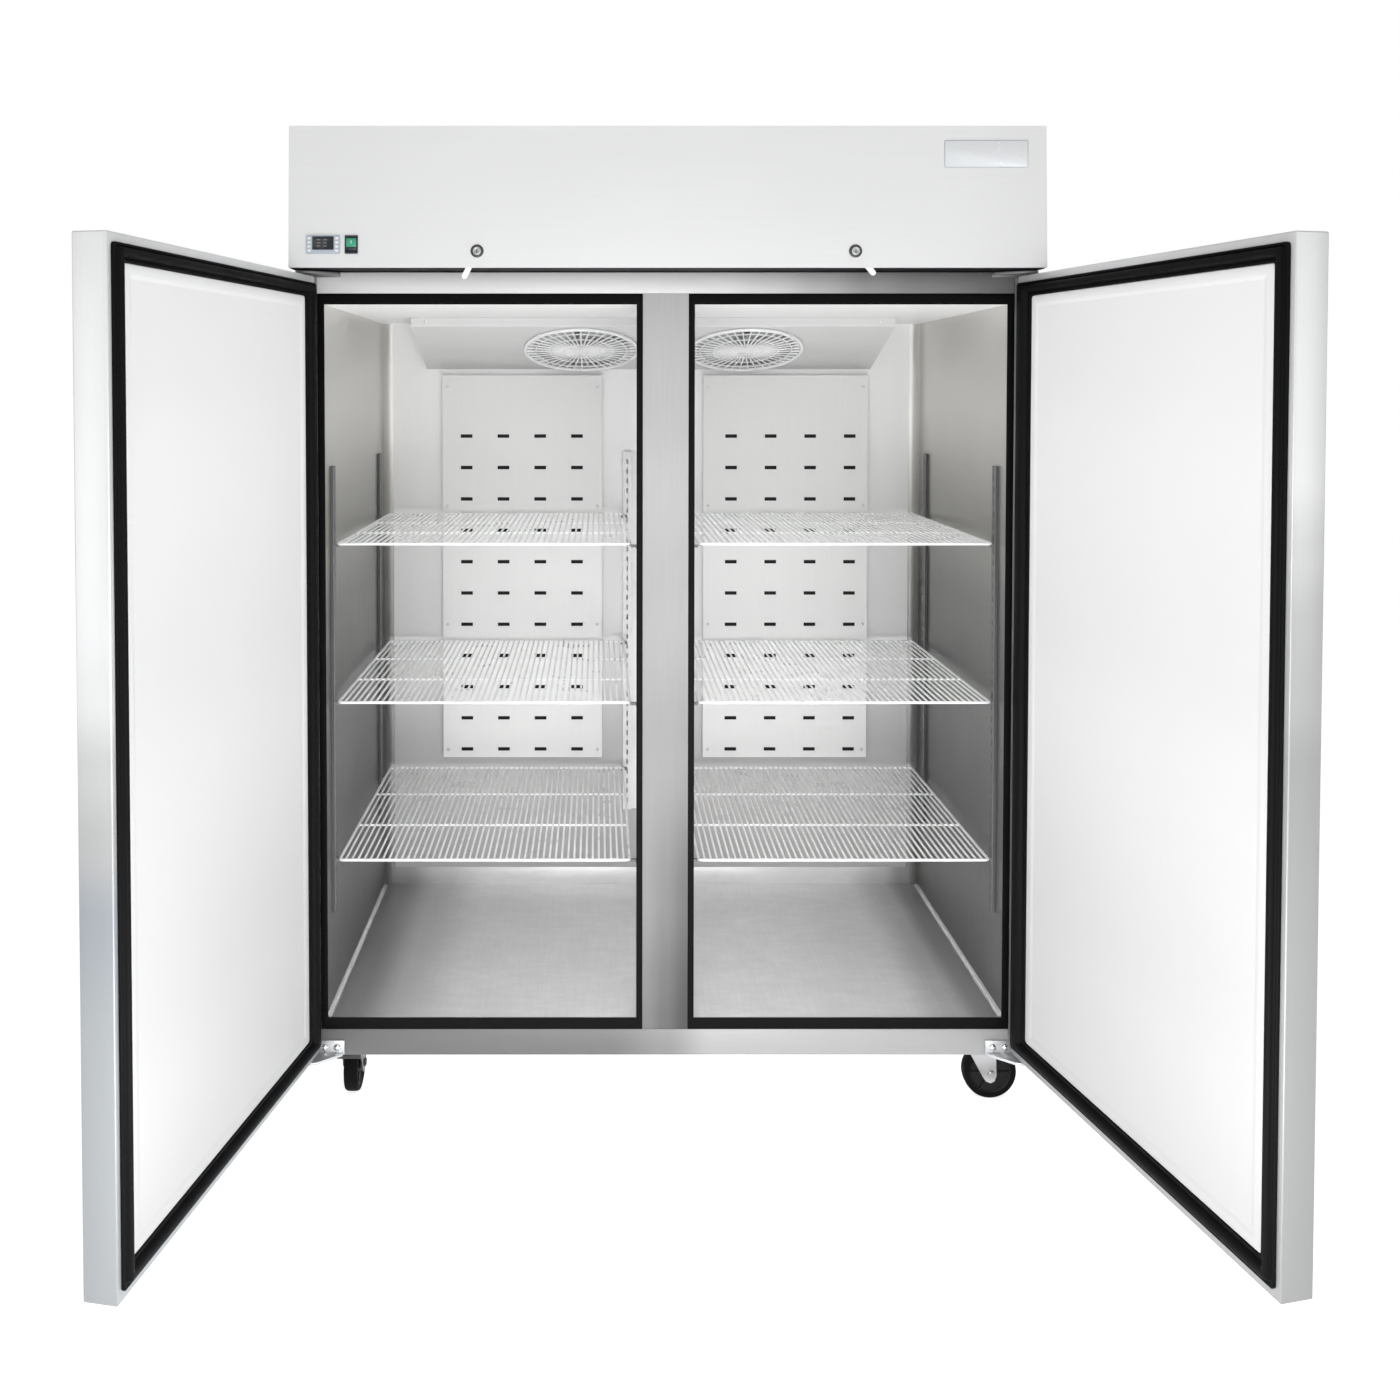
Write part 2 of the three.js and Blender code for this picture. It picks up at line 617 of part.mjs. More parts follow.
function makeDoor(name, side, openDegrees) {
  const turn = side * openDegrees * DEG;
  const door = placed(fridge, side * PIVOT.x, PIVOT.y, 0, 0, turn);
  const at = (a0, a1, y0, y1, z0, z1) => doorBox(side, a0, a1, y0, y1, z0, z1);
  const { hingeEdge: a0, freeEdge: a1, front: y0, back: y1, low: z0, high: z1 } = DOOR;
  const t = SHEET;
  const lip = 15;

  const lockAlong = PIVOT.x - Math.abs(LOCK.x[side < 0 ? 0 : 1]);
  const slotY = HEADER.front - PIVOT.y;
  const slotHalf = 52;
  const keeperSlot = () =>
    at(
      lockAlong - slotHalf, lockAlong + slotHalf, slotY + 1.2, slotY + 8, z1 - 20, z1 + OVER,
    );
  const pinBores = () => [rod(6, z0 - OVER, z0 + 22), rod(6, z1 - 22, z1 + OVER)];
  const pocket = (grow) =>
    at(
      PULL.a0 - grow, PULL.a1 + grow, y0 - OVER, y0 + PULL.deep + grow,
      PULL.low - grow, PULL.high + grow,
    );
  const pocketBody = at(
    PULL.a0 - t, PULL.a1 + t, y0, y0 + PULL.deep + t, PULL.low - t, PULL.high + t,
  );

  const shell = cut(
    at(a0, a1, y0, y1, z0, z1),
    at(a0 + t, a1 - t, y0 + t, y1 - t, z0 + t, z1 - t),
    at(a0 + lip, a1 - lip, y1 - 2 * t, y1 + OVER, z0 + lip, z1 - lip),
  );
  const skin = cut(join(shell, pocketBody), pocket(0), keeperSlot(), ...pinBores());
  add(`door_${name}_skin`, skin, look.stainless, door);

  const g = t + GAP;
  const core = cut(
    at(a0 + g, a1 - g, y0 + g, y1 - g, z0 + g, z1 - g),
    pocket(g),
    keeperSlot(),
    ...pinBores(),
  );
  add(`door_${name}_core`, core, look.foam, door);

  const p = PANEL;
  const liner = at(p.hinge + GAP, p.free - GAP, y1 - 1, y1 + 4, p.low + GAP, p.high - GAP);
  add(`door_${name}_liner`, liner, look.panel, door);

  const s = SEAL;
  const footTop = y1 + 6;
  const ring = (hinge, grow, from, to) =>
    cut(
      at(hinge, s.free - grow, from, to, s.low + grow, s.high - grow),
      at(
        p.hinge - grow, p.free + grow, from - OVER, to + OVER, p.low - grow, p.high + grow,
      ),
    );
  const foot = ring(s.hinge, 0, y1 + GAP, footTop);
  const seal = join(foot, ring(s.lipHinge, s.inset, footTop - 0.5, s.face));
  add(`door_${name}_gasket`, seal, look.rubber, door);
}

// The lower plate stops short of the closed door's seal.
const HINGE = {
  lowArm: 122, lowPlate: 151, highPlate: 1700, highArm: 1704.5,
  arm: 5, plateIn: 652, bushR: 9, pinR: 5, pinReach: 18,
};

// A flat arm from the cabinet's face out to the hinge axis.
function hingeArm(side, z0) {
  const points = [
    [705, -0.3], [655, -0.3], [655, -10], [700, -44],
    [714, -47], [730, -45], [736, -32], [728, -18],
  ];
  return plate(points.map(([x, y]) => [side * x, y]), z0, z0 + HINGE.arm);
}

function hingePlate(side, z0, z1) {
  return sideBox(side, HINGE.plateIn, 705, -3.3, -GAP, z0, z1);
}

function makeHinges() {
  const y = PIVOT.y;
  const { lowArm, highArm, arm, bushR, pinR, pinReach } = HINGE;
  for (const [name, side] of Object.entries(SIDES)) {
    const x = side * PIVOT.x;
    const lower = join(
      hingeArm(side, lowArm),
      hingePlate(side, lowArm, HINGE.lowPlate),
      rod(bushR, lowArm + arm - 1, DOOR.low - GAP, x, y),
      rod(pinR, lowArm + 1, DOOR.low + pinReach, x, y, 12),
    );
    add(`hinge_lower_${name}`, lower, look.zinc);

    const upper = join(
      hingeArm(side, highArm),
      hingePlate(side, HINGE.highPlate, highArm + arm),
      rod(bushR, DOOR.high + GAP, highArm + 1, x, y),
      rod(pinR, DOOR.high - pinReach, highArm + 1, x, y, 12),
    );
    add(`hinge_upper_${name}`, upper, look.zinc);
  }
}

// ---------------------------------------------------------------- casters

// A swivelling fork about Z whose wheel trails towards +X.
function casterFork() {
  const r = CASTER.radius;
  const inner = CASTER.width / 2 + 2.5;
  const thick = 2.5;
  const t = CASTER.trail;
  const crownZ = 2 * r + 5;
  const leg = [
    [t - 54, crownZ + 2], [t + 9, crownZ + 2], [t + 11, r - 4], [t + 7, r - 15],
    [t - 1, r - 19], [t - 11, r - 15], [t - 18, r - 5],
  ];
  const legs = [-inner - thick, inner].map((y) =>
    plate(leg, 0, thick).rotateX(Math.PI / 2).translate(0, y + thick, 0),
  );
  const crown = box(t - 55, t + 10, -inner - thick, inner + thick, crownZ, crownZ + 3);
  const head = rod(25, crownZ + 2, CASTER.top, 0, 0, 20);
  const axle = rodY(5, -inner - 7, inner + 7, t, r, 12);
  return join(crown, head, ...legs, axle);
}

// A bored wheel about Z. Its facets touch the rolling radius.
const WHEEL_SIDES = 16;

function casterWheel() {
  const r = CASTER.radius / Math.cos(Math.PI / WHEEL_SIDES);
  const w = CASTER.width / 2;
  const upper = [[5.6, w - 1], [18, w - 1], [22, w - 5], [41, w - 5], [r - 3, w], [r, w - 4]];
  const lower = upper.map(([radius, z]) => [radius, -z]);
  const outline = [...lower, ...upper.reverse()];
  outline.push(outline[0]);
  return turned(outline, WHEEL_SIDES);
}

function makeCasters() {
  const places = [
    ["front_left", -1, CASTER.frontY, 90],
    ["front_right", 1, CASTER.frontY, 0],
    ["rear_left", -1, CASTER.rearY, 60],
    ["rear_right", 1, CASTER.rearY, 120],
  ];
  for (const [name, side, y, heading] of places) {
    const caster = placed(fridge, side * CASTER.x, y, 0, 0, heading * DEG);
    add(`caster_fork_${name}`, casterFork(), look.chrome, caster);
    const hub = placed(caster, CASTER.trail, 0, CASTER.radius);
    const facetDown = Math.PI / WHEEL_SIDES;
    const wheel = casterWheel().rotateX(Math.PI / 2).rotateY(facetDown);
    add(`caster_wheel_${name}`, wheel, look.rubber, hub);
  }
}

// ---------------------------------------------------------------- assembly

makeSidePanels();
makeOuterPanels();
makeInsulationAndLiner();
makeFaceFrame();
makePilasters();
makeCentreSupports();
makeShelves();
makeDuctPanels();
makeEvaporator();
makeHeaderCover();
makeControls();
makeMachinery();
makeDoor("left", SIDES.left, DOOR.openLeft);
makeDoor("right", SIDES.right, DOOR.openRight);
makeHinges();
makeCasters();

export default fridge;
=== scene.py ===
import json
import math

import bmesh
import bpy
from mathutils import Matrix, Vector


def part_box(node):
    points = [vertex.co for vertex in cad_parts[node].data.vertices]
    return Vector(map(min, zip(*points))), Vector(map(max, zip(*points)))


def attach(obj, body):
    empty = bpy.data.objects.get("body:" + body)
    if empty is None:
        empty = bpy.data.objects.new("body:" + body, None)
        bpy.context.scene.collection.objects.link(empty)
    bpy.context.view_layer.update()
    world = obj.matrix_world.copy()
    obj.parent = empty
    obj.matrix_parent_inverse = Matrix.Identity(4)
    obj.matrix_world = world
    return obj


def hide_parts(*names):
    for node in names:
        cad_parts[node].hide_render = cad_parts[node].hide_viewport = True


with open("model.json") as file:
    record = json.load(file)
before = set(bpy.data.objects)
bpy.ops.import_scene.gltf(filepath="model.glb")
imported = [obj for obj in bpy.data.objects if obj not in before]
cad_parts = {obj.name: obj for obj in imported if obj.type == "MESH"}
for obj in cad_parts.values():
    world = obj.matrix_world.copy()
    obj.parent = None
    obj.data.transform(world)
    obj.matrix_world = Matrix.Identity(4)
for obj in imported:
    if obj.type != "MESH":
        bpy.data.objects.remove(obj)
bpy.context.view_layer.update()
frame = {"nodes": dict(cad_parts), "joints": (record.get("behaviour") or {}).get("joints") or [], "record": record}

NODES = frame["nodes"]
JOINTS = {joint["name"]: joint for joint in frame["joints"]}
MM = 0.001
FACING = Matrix.Rotation(math.pi / 2, 4, "X")  # a turned piece then points out along -Y
FACING_BACK = Matrix.Rotation(-math.pi / 2, 4, "X")
ROOT = "cabinet"
SIDES = {"left": -1, "right": 1}
LEVELS = ("upper", "middle", "lower")
CORNERS = ("front_left", "front_right", "rear_left", "rear_right")


# ---------------------------------------------------------------- camera, light and floor

CAMERA_PLACE = (-0.136, -2.569, 1.466)
CAMERA_PITCH = 0.0270  # radians below level
FOCAL_MM = 32.86  # for a 36 mm sensor
CAMERA_SHIFT = (0.0728, -0.1938)


def make_camera():
    data = bpy.data.cameras.new("camera")
    data.lens = FOCAL_MM
    data.sensor_width = 36
    data.shift_x, data.shift_y = CAMERA_SHIFT
    data.clip_start = 0.05
    data.clip_end = 60
    camera = bpy.data.objects.new("camera", data)
    camera.location = CAMERA_PLACE
    camera.rotation_euler = (math.pi / 2 - CAMERA_PITCH, 0, 0)
    bpy.context.scene.collection.objects.link(camera)
    bpy.context.scene.camera = camera


def make_area_light(name, place, target, size, power, spread=180):
    data = bpy.data.lights.new(name, "AREA")
    data.shape = "RECTANGLE"
    data.size, data.size_y = size
    data.energy = power
    data.spread = math.radians(spread)
    light = bpy.data.objects.new(name, data)
    light.location = place
    direction = Vector(target) - Vector(place)
    light.rotation_euler = direction.to_track_quat("-Z", "Y").to_euler()
    bpy.context.scene.collection.objects.link(light)


WORLD_STRENGTH = 0.42
# Grey level of the studio from straight down (0) through the horizon (0.5) to straight up (1).
WORLD_STOPS = ((0.0, 0.55), (0.42, 0.5), (0.52, 0.72), (0.66, 1.0), (1.0, 0.95))


def make_world():
    """A studio that lights by its ramp and shows plain white to the camera."""
    world = bpy.data.worlds.new("studio")
    world.use_nodes = True
    bpy.context.scene.world = world
    tree = world.node_tree
    tree.nodes.clear()
    coord = add_node(tree, "ShaderNodeTexCoord", {})
    split = add_node(tree, "ShaderNodeSeparateXYZ", {0: coord.outputs["Generated"]})
    height = add_node(tree, "ShaderNodeMapRange", {"From Min": -1, "Value": split.outputs["Z"]})
    grey = add_ramp(tree, height.outputs[0], WORLD_STOPS)
    seen = add_node(tree, "ShaderNodeBackground", {"Color": (1, 1, 1, 1)})
    lit = add_node(tree, "ShaderNodeBackground", {"Strength": WORLD_STRENGTH, "Color": grey})
    path = add_node(tree, "ShaderNodeLightPath", {})
    mix = add_node(tree, "ShaderNodeMixShader", {"Fac": path.outputs["Is Camera Ray"],
                                                 1: lit.outputs[0], 2: seen.outputs[0]})
    add_node(tree, "ShaderNodeOutputWorld", {"Surface": mix.outputs[0]})


def set_ramp(ramp, stops):
    elements = ramp.color_ramp.elements
    while len(elements) < len(stops):
        elements.new(0.5)
    for element, (place, colour) in zip(elements, stops):
        element.position = place
        value = colour if isinstance(colour, tuple) else (colour, colour, colour)
        element.color = (*value, 1)


FLOOR_SIZE = 14
FLOOR_GLOW = 0.66  # keeps the pale floor as light as the backdrop


def make_floor():
    bpy.ops.mesh.primitive_plane_add(size=FLOOR_SIZE, location=(0, 0, 0))
    floor = bpy.context.object
    floor.name = "studio_floor"
    material, shader = new_material("pale_floor", (0.85, 0.85, 0.85), 0.8, 0)
    shader.inputs["Emission Color"].default_value = (1, 1, 1, 1)
    shader.inputs["Emission Strength"].default_value = FLOOR_GLOW
    floor.data.materials.append(material)


# Name, place, target, size, power in watts and, where it is narrow, the spread in degrees.
LIGHTS = (
    ("key", (-2.0, -4.4, 3.0), (0, 0, 1.1), (2.6, 2.6), 10),
    ("fill", (2.2, -4.4, 2.4), (0, 0.3, 1.0), (2.4, 2.4), 8),
    ("top", (0, -0.6, 4.4), (0, 0.2, 0), (3.5, 2.5), 12),
    ("door_left", (3.0, -2.7, 1.7), (-1.0, -0.4, 0.9), (1.6, 2.0), 13),
    ("door_right", (-3.0, -2.7, 1.7), (1.0, -0.4, 0.9), (1.6, 2.0), 13),
    ("inside", (0, -2.0, 0.95), (0, 0.7, 0.95), (1.2, 1.0), 11),
    ("floor_pan", (0, -1.15, 2.0), (0, 0.42, 0.2), (1.1, 0.4), 1.4, 56),
    ("upward", (0, -1.1, 0.25), (0, 0.5, 1.65), (1.4, 0.4), 9),
)


# ---------------------------------------------------------------- materials


def new_material(name, colour, roughness, metallic):
    material = bpy.data.materials.new(name)
    material.use_nodes = True
    shader = material.node_tree.nodes["Principled BSDF"]
    shader.inputs["Base Color"].default_value = (*colour, 1)
    shader.inputs["Roughness"].default_value = roughness
    shader.inputs["Metallic"].default_value = metallic
    return material, shader


def add_node(tree, kind, inputs):
    """A shader node with its inputs set to values, or joined to the sockets given for them."""
    node = tree.nodes.new(kind)
    for name, value in inputs.items():
        if isinstance(value, bpy.types.NodeSocket):
            tree.links.new(value, node.inputs[name])
        else:
            node.inputs[name].default_value = value
    return node


def object_place(tree):
    return add_node(tree, "ShaderNodeTexCoord", {}).outputs["Object"]


def add_noise(tree, scale, stretch=(1, 1, 1), detail=3.0, roughness=0.55):
    """A noise texture in object space, drawn out along an axis by a small stretch value there."""
    mapping = add_node(tree, "ShaderNodeMapping", {"Scale": stretch, "Vector": object_place(tree)})
    noise = add_node(tree, "ShaderNodeTexNoise", {"Scale": scale, "Detail": detail,
                                                  "Roughness": roughness, "Vector": mapping.outputs[0]})
    return noise.outputs["Fac"]


def add_range(tree, source, low, high, from_low=0.3, from_high=0.7):
    return add_node(tree, "ShaderNodeMapRange", {
        "From Min": from_low, "From Max": from_high, "To Min": low, "To Max": high,
        "Value": source,
    }).outputs[0]


def add_bump(tree, shader, height, strength, distance=0.0004):
    bump = add_node(tree, "ShaderNodeBump", {"Strength": strength, "Distance": distance, "Height": height})
    tree.links.new(bump.outputs[0], shader.inputs["Normal"])


def multiply_colour(tree, first, second, share=None):
    """The product of two colours, or part of the way to it where a share is given."""
    mix = tree.nodes.new("ShaderNodeMix")
    mix.data_type = "RGBA"
    mix.blend_type = "MULTIPLY"
    mix.inputs["Factor"].default_value = 1
    if share:
        tree.links.new(share, mix.inputs["Factor"])
    tree.links.new(first, mix.inputs["A"])
    tree.links.new(second, mix.inputs["B"])
    return mix.outputs["Result"]


def add_ramp(tree, source, stops, interpolation="LINEAR"):
    ramp = add_node(tree, "ShaderNodeValToRGB", {"Fac": source})
    ramp.color_ramp.interpolation = interpolation
    set_ramp(ramp, stops)
    return ramp.outputs["Color"]


def add_height_ramp(tree, stops, axis="Z"):
    """A colour that changes along one axis of the object; stops are (metres, grey or colour)."""
    split = add_node(tree, "ShaderNodeSeparateXYZ", {0: object_place(tree)})
    low, high = stops[0][0], stops[-1][0]
    place = add_range(tree, split.outputs[axis], 0, 1, low, high)
    shares = [((value - low) / (high - low), grey) for value, grey in stops]
    return add_ramp(tree, place, shares, "EASE")


def noisy_colour(tree, colour, noise, spread):
    """The colour, made darker and lighter by up to the given share."""
    dark = tuple(c * (1 - spread) for c in colour)
    light = tuple(min(c * (1 + spread), 1) for c in colour)
    return add_ramp(tree, noise, ((0.3, dark), (0.7, light)))


BRUSH_ALONG = 0.012  # how much longer a brush mark is than it is wide
BRUSH_SCALE = 420


def brushed_steel(name, colour, roughness=0.3, along="Z", shade=None, metallic=1.0, grain=0.05,
                  shade_axis="Z", bump=0.12):
    """Brushed sheet metal, with its marks along one axis and an optional broad shade."""
    material, shader = new_material(name, colour, roughness, metallic)
    tree = material.node_tree
    stretch = [1, 1, 1]
    stretch["XYZ".index(along)] = BRUSH_ALONG
    marks = add_noise(tree, BRUSH_SCALE, stretch, detail=4)
    smudges = add_noise(tree, 2.2, detail=4)
    tinted = noisy_colour(tree, colour, marks, grain)
    if shade:
        tinted = multiply_colour(tree, tinted, add_height_ramp(tree, shade, shade_axis))
    tree.links.new(tinted, shader.inputs["Base Color"])
    fine = add_range(tree, marks, roughness - 0.05, roughness + 0.05)
    broad = add_range(tree, smudges, -0.04, 0.05)
    total = add_node(tree, "ShaderNodeMath", {0: fine, 1: broad})
    tree.links.new(total.outputs[0], shader.inputs["Roughness"])
    add_bump(tree, shader, marks, bump)
    return material


def paint_low_right_reflection(material):
    """Painted reflection: the lower part of a sheet is painted darker toward its right edge."""
    tree = material.node_tree
    colour = tree.nodes["Principled BSDF"].inputs["Base Color"]
    across = add_height_ramp(tree, ((-0.04, 1.0), (0.0, 0.68), (0.04, 0.36)), "X")
    fade = add_height_ramp(tree, ((0.2, 1.0), (0.44, 0.72), (0.75, 0.1), (1.0, 0.0)))
    tree.links.new(multiply_colour(tree, colour.links[0].from_socket, across, fade), colour)


def mottled(name, colour, roughness, scale=60, spread=0.06, bump=0.1, metallic=0.0, coat=0.0,
            specular=0.5, shade=None):
    """Plastic, paint or rubber: a faint mottle, uneven gloss and a fine surface texture."""
    material, shader = new_material(name, colour, roughness, metallic)
    tree = material.node_tree
    broad = add_noise(tree, scale * 0.1, detail=3)
    fine = add_noise(tree, scale * 12, detail=2)
    tinted = noisy_colour(tree, colour, broad, spread)
    # A shade given here is painted light and shade: a colour ramp by height.
    if shade:
        tinted = multiply_colour(tree, tinted, add_height_ramp(tree, shade))
    tree.links.new(tinted, shader.inputs["Base Color"])
    tree.links.new(add_range(tree, broad, roughness - 0.05, roughness + 0.07),
                   shader.inputs["Roughness"])
    add_bump(tree, shader, fine, bump, 0.0002)
    shader.inputs["Coat Weight"].default_value = coat
    shader.inputs["Specular IOR Level"].default_value = specular
    shader.inputs["Coat Roughness"].default_value = 0.15
    return material


# Share of full brightness across the floor pan: the side walls darken its outer parts.
FLOOR_SHADE = ((-0.69, 0.3), (-0.64, 0.42), (-0.55, 0.75), (-0.42, 0.96), (0.0, 1.0),
               (0.5, 0.98), (0.6, 0.72), (0.65, 0.42), (0.69, 0.3))


def swirled_floor(name, colour):
    """Floor sheet with straight brush marks crossed by the scratches of use."""
    material, shader = new_material(name, colour, 0.36, 0.3)
    tree = material.node_tree
    marks = add_noise(tree, 330, (1, 0.03, 1), detail=4)
    scratches = add_noise(tree, 45, (0.35, 1, 1), detail=6, roughness=0.7)
    patches = add_noise(tree, 3.5, detail=4)
    tinted = multiply_colour(
        tree,
        noisy_colour(tree, colour, marks, 0.04),
        noisy_colour(tree, (0.95, 0.95, 0.95), scratches, 0.05),
    )
    tinted = multiply_colour(tree, tinted, noisy_colour(tree, (0.95, 0.95, 0.95), patches, 0.05))
    tinted = multiply_colour(tree, tinted, add_height_ramp(tree, FLOOR_SHADE, "X"))
    tree.links.new(tinted, shader.inputs["Base Color"])
    tree.links.new(add_range(tree, scratches, 0.28, 0.44), shader.inputs["Roughness"])
    add_bump(tree, shader, marks, 0.15)
    return material


def finned_metal(name, colour):
    """Packed thin fins, seen edge on, as fine dark lines across X: painted shade in the gaps between the fins."""
    material, shader = new_material(name, colour, 0.45, 1.0)
    tree = material.node_tree
    wave = add_node(tree, "ShaderNodeTexWave", {"Scale": 110, "Distortion": 0.3,
                                                "Vector": object_place(tree)})
    wave.bands_direction = "X"
    stops = ((0.25, tuple(c * 0.25 for c in colour)), (0.75, colour))
    tree.links.new(add_ramp(tree, wave.outputs["Fac"], stops), shader.inputs["Base Color"])
    add_bump(tree, shader, wave.outputs["Fac"], 0.6, 0.001)
    return material


# The steel door skins by height, brighter above the handles where they mirror the ceiling.
DOOR_SHADES = {
    "left": ((0.13, (0.45, 0.47, 0.48)), (0.5, (0.45, 0.47, 0.48)), (0.7, (0.40, 0.43, 0.46)),
             (0.81, 0.54), (0.92, 0.66), (1.03, 0.88), (1.13, 0.95), (1.7, 0.95)),
    "right": ((0.13, 0.43), (0.92, 0.47), (1.03, 0.57), (1.13, 0.60), (1.24, 0.72), (1.35, 0.88),
              (1.7, 0.90)),
}


def make_steels(made):
    """The sheet metals. Each broad shade stands for the room the metal mirrors."""
    made["header"] = brushed_steel(
        "bright_header_steel", (0.815, 0.818, 0.822), 0.46, "X", metallic=0.25, grain=0.012,
        shade=((-0.74, 0.96), (-0.3, 1.0), (0.55, 1.0), (0.74, 0.96)), shade_axis="X", bump=0.05,
    )
    made["steel"] = brushed_steel("stainless_sheet", (0.74, 0.75, 0.76), 0.32, "Z")
    made["steel_x"] = brushed_steel("stainless_sheet_across", (0.74, 0.75, 0.76), 0.32, "X")
    made["mullion"] = brushed_steel(
        "mullion_steel", (0.56, 0.555, 0.557), 0.62, "Z", grain=0.05, metallic=0.1,
        shade=((0.18, 0.29), (0.27, 0.33), (0.44, 0.41), (0.75, 0.47), (1.05, 0.6), (1.35, 0.765),
               (1.61, 0.88)),
    )
    # Painted reflection on the mullion: its lower part is darker toward the right.
    paint_low_right_reflection(made["mullion"])
    made["post"] = brushed_steel(
        "post_steel", (0.30, 0.30, 0.30), 0.5, "Z", grain=0.05, metallic=0.3,
    )
    made["top_rail"] = brushed_steel(
        "top_rail_steel", (0.75, 0.75, 0.753), 0.5, "X", grain=0.03, metallic=0.2,
        shade=((-0.7, 1.0), (-0.2, 0.95), (0.11, 0.84), (0.21, 0.72), (0.31, 0.54), (0.41, 0.37),
               (0.51, 0.28), (0.7, 0.2)),
        shade_axis="X",
    )
    made["sill"] = brushed_steel(
        "sill_steel", (0.385, 0.385, 0.388), 0.5, "X", grain=0.03, metallic=0.3,
        shade=((-0.7, 0.41), (-0.12, 0.41), (0.0, 0.59), (0.1, 0.97), (0.7, 1.0)), shade_axis="X",
    )
    made["side_wall"] = brushed_steel(
        "liner_side_steel", (0.80, 0.79, 0.76), 0.4, "Z", grain=0.02, metallic=0.8,
        shade=((0.2, (0.31, 0.315, 0.32)), (0.75, (0.26, 0.265, 0.27)), (1.0, (0.29, 0.29, 0.29)),
               (1.2, (0.52, 0.52, 0.51)), (1.45, (0.86, 0.86, 0.86)), (1.65, (0.9, 0.9, 0.9))),
    )
    made["back_wall"] = brushed_steel(
        "liner_back_steel", (0.92, 0.92, 0.92), 0.5, "Z", grain=0.012, metallic=0.2,
        shade=((0.2, 0.5), (0.5, 0.62), (0.9, 0.86), (1.65, 1.0)),
    )
    made["ceiling"] = brushed_steel(
        "liner_ceiling_steel", (0.97, 0.97, 0.97), 0.5, "X", metallic=0.1, grain=0.01,
    )
    made["floor_pan"] = swirled_floor("floor_pan_steel", (0.98, 0.98, 0.98))
    made["bright_edge"] = brushed_steel("bright_edge_steel", (0.93, 0.93, 0.93), 0.25, "Y",
                                        metallic=0.7)
    made["duct"] = brushed_steel(
        "duct_panel_steel", (0.93, 0.93, 0.925), 0.5, "Z", grain=0.012, metallic=0.15,
        shade=((0.5, 1.0), (1.0, 0.95), (1.5, 0.86)),
    )
    made["plenum"] = brushed_steel(
        "evaporator_cover_steel", (0.80, 0.80, 0.80), 0.5, "X", grain=0.015, metallic=0.2,
        shade=((1.52, 0.75), (1.56, 0.9), (1.6, 0.98), (1.625, 1.0), (1.629, 0.84), (1.646, 0.84)),
    )
    for name, shade in DOOR_SHADES.items():
        made[f"door_skin_{name}"] = brushed_steel(
            f"door_skin_steel_{name}", (0.86, 0.865, 0.87), 0.42, "Z", grain=0.02, metallic=0.5,
            shade=shade,
        )


